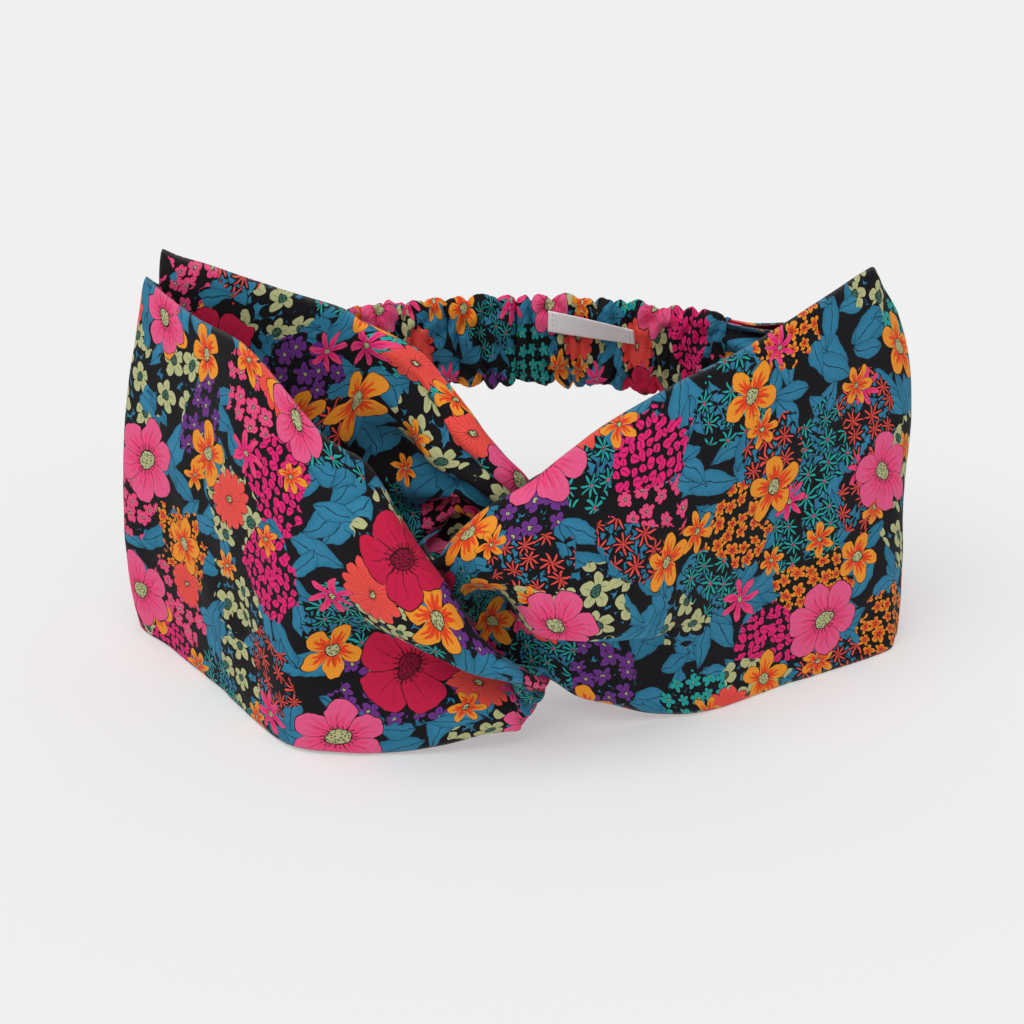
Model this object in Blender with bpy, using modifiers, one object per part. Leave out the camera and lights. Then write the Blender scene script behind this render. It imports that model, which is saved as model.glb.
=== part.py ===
"""Knotted headband: two looped cloth strips hooked through each other, closed by a ruched elastic back.

Metres, +Z up.  The band stands on the lower edges of its strips.  The knot faces -Y, the elastic
back faces +Y, and the origin is on the ground under the middle of the band.
"""

import math

import bmesh
import bpy
from mathutils import Vector

# ---------------------------------------------------------------- driving dimensions

BAND_BACK_Y = 0.065       # the casing's outer face
CLOTH_THICKNESS = 0.0012  # one pressed ply: two layers of printed cotton
STEPS_PER_STATION = 4     # smooth steps between two hand-set stations of a strip

CASING_HEIGHT = 0.026
CASING_THICKNESS = 0.006
CASING_WALL = 0.0008
CASING_CENTRE_Z = 0.069
CASING_HALF_SPAN = 0.058  # from the middle of the back to a join seam, along X
CASING_SAG = 0.014        # how far a join seam lies in front of the middle of the back
CASING_STEPS = 28         # facets along the casing
CASING_SIDES = 16         # facets round it

ELASTIC_WIDTH = 0.020
ELASTIC_THICKNESS = 0.0012
ELASTIC_TAIL = 0.007      # how far each end of the elastic runs past the casing into the strips

SEAM_GAP = 0.002          # the turned seam between a casing end and the strips
PLY_OFFSET = 0.0026       # half the distance between two stacked plies at a join seam
THREAD_RADIUS = 0.0004

LABEL_LENGTH = 0.025
LABEL_HEIGHT = 0.0062
LABEL_THICKNESS = 0.0004
LABEL_X = 0.022           # the label's middle, right of the middle of the back
LABEL_Z = 0.0765
LABEL_GAP = 0.0004        # between the label's back and the casing
LABEL_STITCH_INSET = 0.0012
LABEL_STEPS = 6           # flat facets along the label, which follows the casing's arc

FACET_GAP = 0.0003        # clearance between meshes that touch on the real band

# A station is (x, y, lower edge z, upper edge z): one upright line across a strip.  Each list runs
# from the outer ply's join seam, round the side, along the front to the knot, round the turn that
# hooks the other strip, and back along the inner ply to the same join seam.

LEFT_OUTER_PLY = [
    (-0.0760, 0.0430, 0.046, 0.086),
    (-0.0920, 0.0340, 0.024, 0.096),
    (-0.1040, 0.0230, 0.008, 0.103),
    (-0.1094, 0.0100, 0.000, 0.109),
    (-0.1040, -0.0050, 0.000, 0.109),
    (-0.0910, -0.0190, 0.000, 0.110),
    (-0.0780, -0.0350, 0.000, 0.109),
    (-0.0630, -0.0505, 0.000, 0.101),
    (-0.0470, -0.0590, 0.000, 0.087),
    (-0.0320, -0.0625, 0.000, 0.068),
    (-0.0160, -0.0644, 0.000, 0.051),
    (-0.0010, -0.0630, 0.003, 0.035),
]
LEFT_TURN = [
    (0.0085, -0.0575, 0.005, 0.026),
    (0.0115, -0.0500, 0.005, 0.024),
    (0.0085, -0.0425, 0.006, 0.027),
]
LEFT_INNER_PLY = [
    (0.0035, -0.0390, 0.016, 0.044),
    (-0.0030, -0.0370, 0.034, 0.064),
    (-0.0100, -0.0350, 0.050, 0.080),
    (-0.0175, -0.0325, 0.061, 0.091),
    (-0.0290, -0.0290, 0.050, 0.104),
    (-0.0450, -0.0220, 0.020, 0.114),
    (-0.0620, -0.0110, 0.006, 0.115),
    (-0.0800, 0.0030, 0.002, 0.116),
    (-0.0940, 0.0120, 0.000, 0.116),
    (-0.0985, 0.0190, 0.002, 0.114),
    (-0.0940, 0.0265, 0.008, 0.105),
    (-0.0850, 0.0325, 0.026, 0.095),
    (-0.0740, 0.0385, 0.046, 0.085),
]
RIGHT_OUTER_PLY = [
    (0.0760, 0.0435, 0.045, 0.083),
    (0.0920, 0.0360, 0.024, 0.085),
    (0.1040, 0.0265, 0.007, 0.089),
    (0.1094, 0.0140, 0.000, 0.100),
    (0.1060, 0.0020, 0.000, 0.111),
    (0.0930, -0.0095, 0.000, 0.110),
    (0.0780, -0.0200, 0.000, 0.107),
    (0.0630, -0.0295, 0.000, 0.104),
    (0.0490, -0.0370, 0.000, 0.100),
    (0.0350, -0.0440, 0.004, 0.096),
    (0.0220, -0.0490, 0.014, 0.090),
    (0.0110, -0.0515, 0.029, 0.084),
    (0.0000, -0.0535, 0.036, 0.079),
    (-0.0110, -0.0535, 0.036, 0.070),
]
RIGHT_TURN = [
    (-0.0190, -0.0510, 0.036, 0.058),
    (-0.0230, -0.0445, 0.036, 0.056),
    (-0.0220, -0.0360, 0.035, 0.055),
    (-0.0160, -0.0280, 0.032, 0.055),
]
RIGHT_INNER_PLY = [
    (-0.0070, -0.0250, 0.028, 0.057),
    (0.0030, -0.0245, 0.020, 0.066),
    (0.0150, -0.0260, 0.010, 0.076),
    (0.0290, -0.0265, 0.003, 0.084),
    (0.0450, -0.0220, 0.000, 0.091),
    (0.0620, -0.0150, 0.000, 0.097),
    (0.0800, -0.0050, 0.000, 0.105),
    (0.0930, 0.0060, 0.000, 0.112),
    (0.0980, 0.0160, 0.002, 0.108),
    (0.0945, 0.0245, 0.008, 0.099),
    (0.0855, 0.0315, 0.025, 0.090),
    (0.0740, 0.0385, 0.045, 0.083),
]

# ---------------------------------------------------------------- scene and materials


def clear_scene():
    for obj in list(bpy.data.objects):
        bpy.data.objects.remove(obj, do_unlink=True)


def make_material(name, colour, roughness, metallic=0.0):
    material = bpy.data.materials.new(name)
    material.use_nodes = True
    shader = material.node_tree.nodes["Principled BSDF"]
    shader.inputs["Base Color"].default_value = (*colour, 1.0)
    shader.inputs["Roughness"].default_value = roughness
    shader.inputs["Metallic"].default_value = metallic
    return material


def new_object(name, mesh, material, collection):
    mesh.materials.append(material)
    obj = bpy.data.objects.new(name, mesh)
    collection.objects.link(obj)
    return obj


def add_thickness(obj, thickness, offset=0.0):
    wall = obj.modifiers.new("cloth_thickness", "SOLIDIFY")
    wall.thickness = thickness
    wall.offset = offset
    wall.use_even_offset = True
    return wall


# ---------------------------------------------------------------- curves that the pieces follow


def catmull_rom(before, start, end, after, t):
    """One value on the smooth curve that passes through start at t = 0 and end at t = 1."""
    return 0.5 * (
        2.0 * start
        + (end - before) * t
        + (2.0 * before - 5.0 * start + 4.0 * end - after) * t * t
        + (3.0 * start - before - 3.0 * end + after) * t * t * t
    )


def smooth_stations(stations, steps):
    """Stations along a smooth curve through the given ones, none of them below the ground."""
    last = len(stations) - 1
    result = []
    for i in range(last):
        window = [stations[max(i - 1, 0)], stations[i], stations[i + 1], stations[min(i + 2, last)]]
        for step in range(steps):
            x, y, low, high = (catmull_rom(*values, step / steps) for values in zip(*window))
            result.append((x, y, max(low, 0.0), high))
    result.append(stations[last])
    return result


def back_centre(x):
    """The middle line of the elastic back, seen from above, at the given x."""
    middle_y = BAND_BACK_Y - CASING_THICKNESS / 2.0
    return Vector((x, middle_y - CASING_SAG * (x / CASING_HALF_SPAN) ** 2, CASING_CENTRE_Z))


def back_directions(x):
    """Unit vectors along the back (towards +X) and out of it (away from the head)."""
    slope = -2.0 * CASING_SAG * x / CASING_HALF_SPAN ** 2
    along = Vector((1.0, slope, 0.0)).normalized()
    outward = Vector((-along.y, along.x, 0.0))
    return along, outward


def seam_point(side, beyond, outward_offset):
    """A point past a casing end: side is -1 for the left join seam and +1 for the right one."""
    x = side * CASING_HALF_SPAN
    along, outward = back_directions(x)
    return back_centre(x) + along * (side * beyond) + outward * outward_offset


def seam_station(side, outward_offset):
    """The gathered end of one ply, as narrow as the casing that it is sewn to."""
    point = seam_point(side, SEAM_GAP, outward_offset)
    half = CASING_HEIGHT / 2.0
    return (point.x, point.y, CASING_CENTRE_Z - half, CASING_CENTRE_Z + half)


# ---------------------------------------------------------------- the pieces


def upright_ribbon(name, stations, thickness, material, collection):
    """A strip of cloth standing on edge: an upright line at each station, joined and thickened."""
    bm = bmesh.new()
    columns = []
    for x, y, low, high in stations:
        columns.append((bm.verts.new((x, y, low)), bm.verts.new((x, y, high))))
    for near, far in zip(columns, columns[1:]):
        bm.faces.new((near[0], far[0], far[1], near[1]))
    mesh = bpy.data.meshes.new(name)
    bm.to_mesh(mesh)
    bm.free()
    obj = new_object(name, mesh, material, collection)
    add_thickness(obj, thickness)
    return obj


def build_strip(name, side, outer_ply, turn, inner_ply, material, collection):
    """One cloth strip, folded in half round the other strip, with both ends at one join seam."""
    stations = [seam_station(side, PLY_OFFSET)]
    stations += outer_ply + turn + inner_ply
    stations.append(seam_station(side, -PLY_OFFSET))
    smooth = smooth_stations(stations, STEPS_PER_STATION)
    return upright_ribbon(name, smooth, CLOTH_THICKNESS, material, collection)


def build_casing(material, collection):
    """The cloth tube round the elastic, open at both ends where the strips are sewn in."""
    bm = bmesh.new()
    rings = []
    half_height = CASING_HEIGHT / 2.0
    half_depth = CASING_THICKNESS / 2.0
    for step in range(CASING_STEPS + 1):
        x = CASING_HALF_SPAN * (2.0 * step / CASING_STEPS - 1.0)
        centre = back_centre(x)
        outward = back_directions(x)[1]
        ring = []
        for corner in range(CASING_SIDES):
            angle = 2.0 * math.pi * corner / CASING_SIDES
            across = outward * (half_depth * math.cos(angle))
            up = Vector((0.0, 0.0, half_height * math.sin(angle)))
            ring.append(bm.verts.new(centre + across + up))
        rings.append(ring)
    for near, far in zip(rings, rings[1:]):
        for corner in range(CASING_SIDES):
            following = (corner + 1) % CASING_SIDES
            bm.faces.new((near[corner], near[following], far[following], far[corner]))
    bmesh.ops.recalc_face_normals(bm, faces=bm.faces)
    mesh = bpy.data.meshes.new("elastic_casing")
    bm.to_mesh(mesh)
    bm.free()
    obj = new_object("elastic_casing", mesh, material, collection)
    add_thickness(obj, CASING_WALL, offset=-1.0)
    return obj


def build_elastic(material, collection):
    """The flat braided elastic, running through the casing and in between the strips' ends."""
    half = ELASTIC_WIDTH / 2.0
    points = [seam_point(-1, ELASTIC_TAIL, 0.0)]
    for step in range(CASING_STEPS + 1):
        points.append(back_centre(CASING_HALF_SPAN * (2.0 * step / CASING_STEPS - 1.0)))
    points.append(seam_point(1, ELASTIC_TAIL, 0.0))
    stations = [(p.x, p.y, CASING_CENTRE_Z - half, CASING_CENTRE_Z + half) for p in points]
    return upright_ribbon("elastic_band", stations, ELASTIC_THICKNESS, material, collection)


def label_point(along_offset, depth):
    """A point in front of the casing's inner face, a distance along it from the label's middle."""
    centre = back_centre(LABEL_X + along_offset)
    outward = back_directions(LABEL_X + along_offset)[1]
    low_edge = (LABEL_Z - LABEL_HEIGHT / 2.0 - CASING_CENTRE_Z) / (CASING_HEIGHT / 2.0)
    face = CASING_THICKNESS / 2.0 * math.sqrt(1.0 - low_edge * low_edge)
    point = centre - outward * (face + LABEL_GAP + depth)
    return Vector((point.x, point.y, LABEL_Z))


def build_label(material, collection):
    """The woven label, a thin tab that follows the casing's inner face."""
    low = LABEL_Z - LABEL_HEIGHT / 2.0
    stations = []
    for step in range(LABEL_STEPS + 1):
        along_offset = LABEL_LENGTH * (step / LABEL_STEPS - 0.5)
        point = label_point(along_offset, LABEL_THICKNESS / 2.0)
        stations.append((point.x, point.y, low, low + LABEL_HEIGHT))
    return upright_ribbon("woven_label", stations, LABEL_THICKNESS, material, collection)


def build_thread(name, points, closed, material, collection):
    """A row of stitches, as one length of round thread."""
    curve = bpy.data.curves.new(name, "CURVE")
    curve.dimensions = "3D"
    curve.bevel_depth = THREAD_RADIUS
    curve.bevel_resolution = 1
    curve.use_fill_caps = not closed
    spline = curve.splines.new("POLY")
    spline.points.add(len(points) - 1)
    for target, point in zip(spline.points, points):
        target.co = (*point, 1.0)
    spline.use_cyclic_u = closed
    return new_object(name, curve, material, collection)


def build_label_thread(name, side, material, collection):
    """The short upright row that holds one end of the label."""
    depth = LABEL_THICKNESS + FACET_GAP + THREAD_RADIUS
    middle = label_point(side * (LABEL_LENGTH / 2.0 - LABEL_STITCH_INSET), depth)
    half = Vector((0.0, 0.0, LABEL_HEIGHT / 2.0 - LABEL_STITCH_INSET / 2.0))
    return build_thread(name, [middle - half, middle, middle + half], False, material, collection)


def build_join_thread(name, side, material, collection):
    """The seam that sews the casing's end to a strip's gathered ends: one loop round the band."""
    centre = seam_point(side, SEAM_GAP / 2.0, 0.0)
    outward = back_directions(side * CASING_HALF_SPAN)[1]
    half_height = CASING_HEIGHT / 2.0 - THREAD_RADIUS
    half_depth = CASING_THICKNESS / 2.0 - THREAD_RADIUS
    points = []
    for corner in range(CASING_SIDES):
        angle = 2.0 * math.pi * corner / CASING_SIDES
        up = Vector((0.0, 0.0, half_height * math.sin(angle)))
        points.append(centre + outward * (half_depth * math.cos(angle)) + up)
    return build_thread(name, points, True, material, collection)


def main():
    clear_scene()
    band = bpy.data.collections.new("knotted_headband")
    bpy.context.scene.collection.children.link(band)

    printed_cotton = make_material("printed_cotton", (0.045, 0.17, 0.25), 0.82)
    printed_cotton_rose = make_material("printed_cotton_rose", (0.55, 0.06, 0.14), 0.82)
    casing_cotton = make_material("casing_cotton", (0.10, 0.11, 0.16), 0.85)
    braided_elastic = make_material("braided_elastic", (0.80, 0.79, 0.76), 0.70)
    label_weave = make_material("label_weave", (0.88, 0.88, 0.87), 0.60)
    sewing_thread = make_material("sewing_thread", (0.03, 0.03, 0.04), 0.60)

    build_strip("left_strip", -1, LEFT_OUTER_PLY, LEFT_TURN, LEFT_INNER_PLY, printed_cotton, band)
    build_strip("right_strip", 1, RIGHT_OUTER_PLY, RIGHT_TURN, RIGHT_INNER_PLY, printed_cotton_rose, band)
    build_casing(casing_cotton, band)
    build_elastic(braided_elastic, band)
    build_label(label_weave, band)
    build_label_thread("label_thread_left", -1, sewing_thread, band)
    build_label_thread("label_thread_right", 1, sewing_thread, band)
    build_join_thread("join_thread_left", -1, sewing_thread, band)
    build_join_thread("join_thread_right", 1, sewing_thread, band)


main()
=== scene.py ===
# %% [markdown]
# # A knotted headband in printed cotton
# The band is sewn from two wide strips of cotton lawn. Each strip is a turned tube, pressed flat and
# folded in half, and the two are hooked through each other at the front, so the knot is nothing but
# cloth passing round cloth. At the back a ruched casing hides a flat elastic.
#
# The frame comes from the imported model: its bodies, its joint and the space each piece may fill. This
# script only makes the surfaces that you see. Lengths are metres, +Z is up, and the knot faces -Y.

# %% Load the frame
import math

import bpy
import numpy as np
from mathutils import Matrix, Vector, noise


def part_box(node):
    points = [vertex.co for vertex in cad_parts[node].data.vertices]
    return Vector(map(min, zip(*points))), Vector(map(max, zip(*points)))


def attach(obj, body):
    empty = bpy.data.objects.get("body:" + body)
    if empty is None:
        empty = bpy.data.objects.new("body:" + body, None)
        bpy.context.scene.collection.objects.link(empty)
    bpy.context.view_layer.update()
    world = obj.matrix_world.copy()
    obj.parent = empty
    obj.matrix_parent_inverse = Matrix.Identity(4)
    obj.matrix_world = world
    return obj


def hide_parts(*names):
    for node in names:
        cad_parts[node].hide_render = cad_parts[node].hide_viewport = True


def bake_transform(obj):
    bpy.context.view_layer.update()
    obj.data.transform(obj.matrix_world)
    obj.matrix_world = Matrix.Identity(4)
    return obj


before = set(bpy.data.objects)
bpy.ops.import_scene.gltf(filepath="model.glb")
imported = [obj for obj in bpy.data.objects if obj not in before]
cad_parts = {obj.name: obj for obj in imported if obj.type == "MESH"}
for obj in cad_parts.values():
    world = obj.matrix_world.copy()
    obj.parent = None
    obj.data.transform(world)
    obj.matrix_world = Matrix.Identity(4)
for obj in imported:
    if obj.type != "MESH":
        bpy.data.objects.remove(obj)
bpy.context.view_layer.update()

MM = 0.001
FRONT = "front_wrap"

# %% [markdown]
# ## Camera and studio
# A product like this is shown from a little above, with a long lens that keeps the sides upright.
# The light is a pale sky from all round with one very soft source above, so shadows stay faint.

# %% Aim the camera
CAMERA_TARGET = Vector((-0.0012, 0.0, 0.044))
CAMERA_RAISE = math.radians(27.0)
CAMERA_DISTANCE = 0.80
CAMERA_LENS = 101.25


def aim(obj, target):
    """Turn an object's -Z axis towards a point."""
    obj.rotation_euler = (target - obj.location).to_track_quat("-Z", "Y").to_euler()


camera = bpy.data.objects.new("camera", bpy.data.cameras.new("camera"))
bpy.context.scene.collection.objects.link(camera)
camera.data.lens = CAMERA_LENS
camera.data.sensor_width = 36.0
camera.data.clip_start = 0.01
camera_direction = Vector((0.0, -math.cos(CAMERA_RAISE), math.sin(CAMERA_RAISE)))
camera.location = CAMERA_TARGET + CAMERA_DISTANCE * camera_direction
aim(camera, CAMERA_TARGET)
bpy.context.scene.camera = camera
print("camera at", tuple(round(value, 3) for value in camera.location))

# %% [markdown]
# ## Small helpers for shader nodes
# A print is easier to read in code when each sum is one line. `calc` is a Math node, `mix_colours` a
# Mix node, and `new_group` opens a node group with named sockets.

# %% Node helpers
def put(tree, kind, values=None, **settings):
    """Add a node, set its properties, then link or set its inputs by name or index."""
    node = tree.nodes.new(kind)
    for name, value in settings.items():
        setattr(node, name, value)
    for key, value in (values or {}).items():
        if isinstance(value, bpy.types.NodeSocket):
            tree.links.new(value, node.inputs[key])
        else:
            node.inputs[key].default_value = value
    return node


def calc(tree, operation, a, b=0.0, c=0.0, clamp=False):
    node = put(tree, "ShaderNodeMath", {0: a, 1: b, 2: c}, operation=operation, use_clamp=clamp)
    return node.outputs[0]


def times(tree, *factors):
    result = factors[0]
    for factor in factors[1:]:
        result = calc(tree, "MULTIPLY", result, factor)
    return result


def above(tree, value, level, softness):
    """0 below the level and 1 above it, with a narrow ramp so that edges stay smooth."""
    return calc(tree, "DIVIDE", calc(tree, "SUBTRACT", value, level), softness, clamp=True)


def mix_colours(tree, amount, first, second):
    node = put(tree, "ShaderNodeMix", {0: amount, 6: first, 7: second}, data_type="RGBA")
    return node.outputs[2]


def new_group(name, inputs, outputs):
    tree = bpy.data.node_groups.new(name, "ShaderNodeTree")
    for title, kind, default in inputs:
        socket = tree.interface.new_socket(title, in_out="INPUT", socket_type=kind)
        socket.default_value = default
    for title, kind in outputs:
        tree.interface.new_socket(title, in_out="OUTPUT", socket_type=kind)
    return tree, tree.nodes.new("NodeGroupInput").outputs, tree.nodes.new("NodeGroupOutput").inputs


def use_group(tree, group, **values):
    """Place a group in a tree. Underscores in the keywords stand for spaces in socket names."""
    named = {key.replace("_", " "): value for key, value in values.items()}
    node = put(tree, "ShaderNodeGroup", node_tree=group)
    for key, value in named.items():
        if isinstance(value, bpy.types.NodeSocket):
            tree.links.new(value, node.inputs[key])
        else:
            node.inputs[key].default_value = value
    return node.outputs


NUMBER = "NodeSocketFloat"
COLOUR = "NodeSocketColor"
VECTOR = "NodeSocketVector"


def dye(code):
    """A web colour such as 3A86A8 as the linear colour that shaders use."""
    channels = [int(code[i:i + 2], 16) / 255.0 for i in (0, 2, 4)]
    linear = [c / 12.92 if c <= 0.04045 else ((c + 0.055) / 1.055) ** 2.4 for c in channels]
    return (*linear, 1.0)


INK = dye("141216")
TEAL = dye("25708F")
TEAL_LIGHT = dye("3787AB")
TURQUOISE = dye("24ADA8")
PINK = dye("F3477C")
MAGENTA = dye("F0257A")
CORAL = dye("F5524A")
ORANGE = dye("F59A2E")
FLAME = dye("F04A23")
KHAKI = dye("BDBF8A")
MOSS = dye("3F6B5C")
PURPLE = dye("71358C")
CRIMSON = dye("CE1F48")
WINE = dye("8E1234")
ROSE = dye("EE5C8D")
print("dyes ready, ink is", tuple(round(c, 4) for c in INK[:3]))

# %% [markdown]
# ## The print: one motif per cell
# The cloth is covered in small flowers and leaves. Painting them by hand would need an image, so each
# kind is drawn by arithmetic instead. A Voronoi texture scatters cell centres over the cloth, and every
# point of the cloth learns where its own centre is. From there a flower is a curve in polar
# coordinates, and a leaf is a pair of arcs. Working in millimetres keeps the sizes honest.

# %% Scatter: a centre, a random turn and random numbers for each cell
def make_scatter_group():
    tree, given, result = new_group(
        "motif scatter",
        [("Cloth", VECTOR, (0, 0, 0)), ("Spacing", NUMBER, 10.0), ("Jitter", NUMBER, 0.7),
         ("Seed", NUMBER, 1.0)],
        [("Local", VECTOR), ("Radius", NUMBER), ("Angle", NUMBER), ("Chance", NUMBER), ("Tint", NUMBER)],
    )
    shift = put(tree, "ShaderNodeCombineXYZ", {
        0: calc(tree, "MULTIPLY", given["Seed"], 37.1),
        1: calc(tree, "MULTIPLY", given["Seed"], 91.7),
    })
    moved = put(tree, "ShaderNodeVectorMath", {0: given["Cloth"], 1: shift.outputs[0]}, operation="ADD")
    cells = put(tree, "ShaderNodeTexVoronoi", {
        "Vector": moved.outputs[0],
        "Scale": calc(tree, "DIVIDE", 1.0, given["Spacing"]),
        "Randomness": given["Jitter"],
    }, voronoi_dimensions="2D")
    local = put(tree, "ShaderNodeVectorMath", {0: moved.outputs[0], 1: cells.outputs["Position"]},
                operation="SUBTRACT")
    random = put(tree, "ShaderNodeSeparateColor", {0: cells.outputs["Color"]})
    turned = put(tree, "ShaderNodeVectorRotate", {
        "Vector": local.outputs[0],
        "Angle": calc(tree, "MULTIPLY", random.outputs[0], 2.0 * math.pi),
    }, rotation_type="Z_AXIS")
    parts = put(tree, "ShaderNodeSeparateXYZ", {0: turned.outputs[0]})
    length = put(tree, "ShaderNodeVectorMath", {0: local.outputs[0]}, operation="LENGTH")
    tree.links.new(turned.outputs[0], result["Local"])
    tree.links.new(length.outputs["Value"], result["Radius"])
    tree.links.new(calc(tree, "ARCTAN2", parts.outputs[1], parts.outputs[0]), result["Angle"])
    tree.links.new(random.outputs[1], result["Chance"])
    tree.links.new(random.outputs[2], result["Tint"])
    return tree


scatter = make_scatter_group()
print("scatter group has", len(scatter.nodes), "nodes")

# %% Flowers: petals round a stippled centre, with drawn outlines
def make_flower_group():
    tree, given, result = new_group(
        "printed flower",
        [
            ("Cloth", VECTOR, (0, 0, 0)), ("Spacing", NUMBER, 10.0), ("Jitter", NUMBER, 0.7),
            ("Seed", NUMBER, 1.0), ("Reach", NUMBER, 4.0), ("Petals", NUMBER, 5.0),
            ("Fullness", NUMBER, 0.6), ("Waist", NUMBER, 0.3), ("Eye", NUMBER, 1.0),
            ("Coverage", NUMBER, 1.0), ("Line", NUMBER, 0.25), ("Detail", NUMBER, 0.0),
            ("Inner", COLOUR, CORAL), ("Outer", COLOUR, ORANGE), ("Middle", COLOUR, KHAKI),
        ],
        [("Colour", COLOUR), ("Mask", NUMBER), ("Halo", NUMBER)],
    )
    spot = use_group(tree, scatter, Cloth=given["Cloth"], Spacing=given["Spacing"], Jitter=given["Jitter"],
                     Seed=given["Seed"])
    half_turn = times(tree, spot["Angle"], given["Petals"], 0.5)
    lobe = calc(tree, "POWER", calc(tree, "ABSOLUTE", calc(tree, "COSINE", half_turn)), given["Fullness"])
    size = calc(tree, "MULTIPLY_ADD", spot["Tint"], 0.3, 0.8)
    spread = calc(tree, "SUBTRACT", 1.0, given["Waist"])
    outline = times(tree, given["Reach"], size, calc(tree, "MULTIPLY_ADD", lobe, spread, given["Waist"]))
    inside = calc(tree, "SUBTRACT", outline, spot["Radius"])
    share = calc(tree, "DIVIDE", spot["Radius"], calc(tree, "MAXIMUM", outline, 0.01), clamp=True)
    streaks = calc(tree, "SINE", times(tree, spot["Angle"], given["Petals"], 4.0))
    change = calc(tree, "MULTIPLY_ADD", streaks, 0.13, 0.52)
    petal = mix_colours(tree, above(tree, share, change, 0.10), given["Inner"], given["Outer"])

    rib = calc(tree, "MULTIPLY", calc(tree, "ABSOLUTE", calc(tree, "SINE", half_turn)), spot["Radius"])
    on_rib = times(
        tree,
        calc(tree, "SUBTRACT", 1.0, above(tree, rib, calc(tree, "MULTIPLY", given["Line"], 0.7), 0.1)),
        calc(tree, "SUBTRACT", 1.0, above(tree, share, 0.6, 0.1)),
        0.6,
    )
    petal = mix_colours(tree, on_rib, petal, INK)
    between = times(tree, calc(tree, "ABSOLUTE", calc(tree, "COSINE", half_turn)), spot["Radius"], 0.8)
    parted = calc(tree, "SUBTRACT", 1.0, above(tree, between, calc(tree, "MULTIPLY", given["Line"], 0.7), 0.1))
    vein_waves = calc(tree, "SINE", times(tree, half_turn, 4.0))
    side_veins = times(tree, calc(tree, "ABSOLUTE", vein_waves), spot["Radius"], 0.25)
    veined = times(
        tree,
        calc(tree, "SUBTRACT", 1.0, above(tree, side_veins, 0.10, 0.08)),
        above(tree, share, 0.42, 0.05),
        calc(tree, "SUBTRACT", 1.0, above(tree, share, 0.80, 0.05)),
        0.65,
    )
    drawn = calc(tree, "MULTIPLY", calc(tree, "MAXIMUM", parted, veined), given["Detail"])
    petal = mix_colours(tree, drawn, petal, INK)
    near_edge = calc(tree, "SUBTRACT", 1.0, above(tree, inside, given["Line"], 0.08))
    petal = mix_colours(tree, near_edge, petal, INK)

    eye_size = calc(tree, "MULTIPLY", given["Eye"], size)
    dots = put(tree, "ShaderNodeTexVoronoi", {"Vector": given["Cloth"], "Scale": 1.25},
               voronoi_dimensions="2D")
    stipple = calc(tree, "SUBTRACT", 1.0, above(tree, dots.outputs["Distance"], 0.24, 0.12))
    eye = mix_colours(tree, calc(tree, "MULTIPLY", stipple, 0.8), given["Middle"], INK)
    eye_rim = above(tree, spot["Radius"], calc(tree, "SUBTRACT", eye_size, given["Line"]), 0.08)
    eye = mix_colours(tree, eye_rim, eye, INK)
    in_eye = calc(tree, "SUBTRACT", 1.0, above(tree, spot["Radius"], eye_size, 0.08))
    flower = mix_colours(tree, in_eye, petal, eye)
    past_eye = calc(tree, "SUBTRACT", spot["Radius"], eye_size)
    stamens = times(
        tree,
        above(tree, calc(tree, "SINE", times(tree, spot["Angle"], 21.0)), 0.25, 0.3),
        above(tree, past_eye, 0.0, 0.1),
        calc(tree, "SUBTRACT", 1.0, above(tree, past_eye, calc(tree, "MULTIPLY", eye_size, 0.42), 0.1)),
        given["Detail"],
    )
    flower = mix_colours(tree, calc(tree, "MULTIPLY", stamens, 0.8), flower, INK)

    shown = calc(tree, "LESS_THAN", spot["Chance"], given["Coverage"])
    tree.links.new(flower, result["Colour"])
    tree.links.new(times(tree, above(tree, inside, 0.0, 0.1), shown), result["Mask"])
    tree.links.new(times(tree, above(tree, inside, -2.2, 0.2), shown), result["Halo"])
    return tree


flower_print = make_flower_group()
print("flower group has", len(flower_print.nodes), "nodes")

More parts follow.
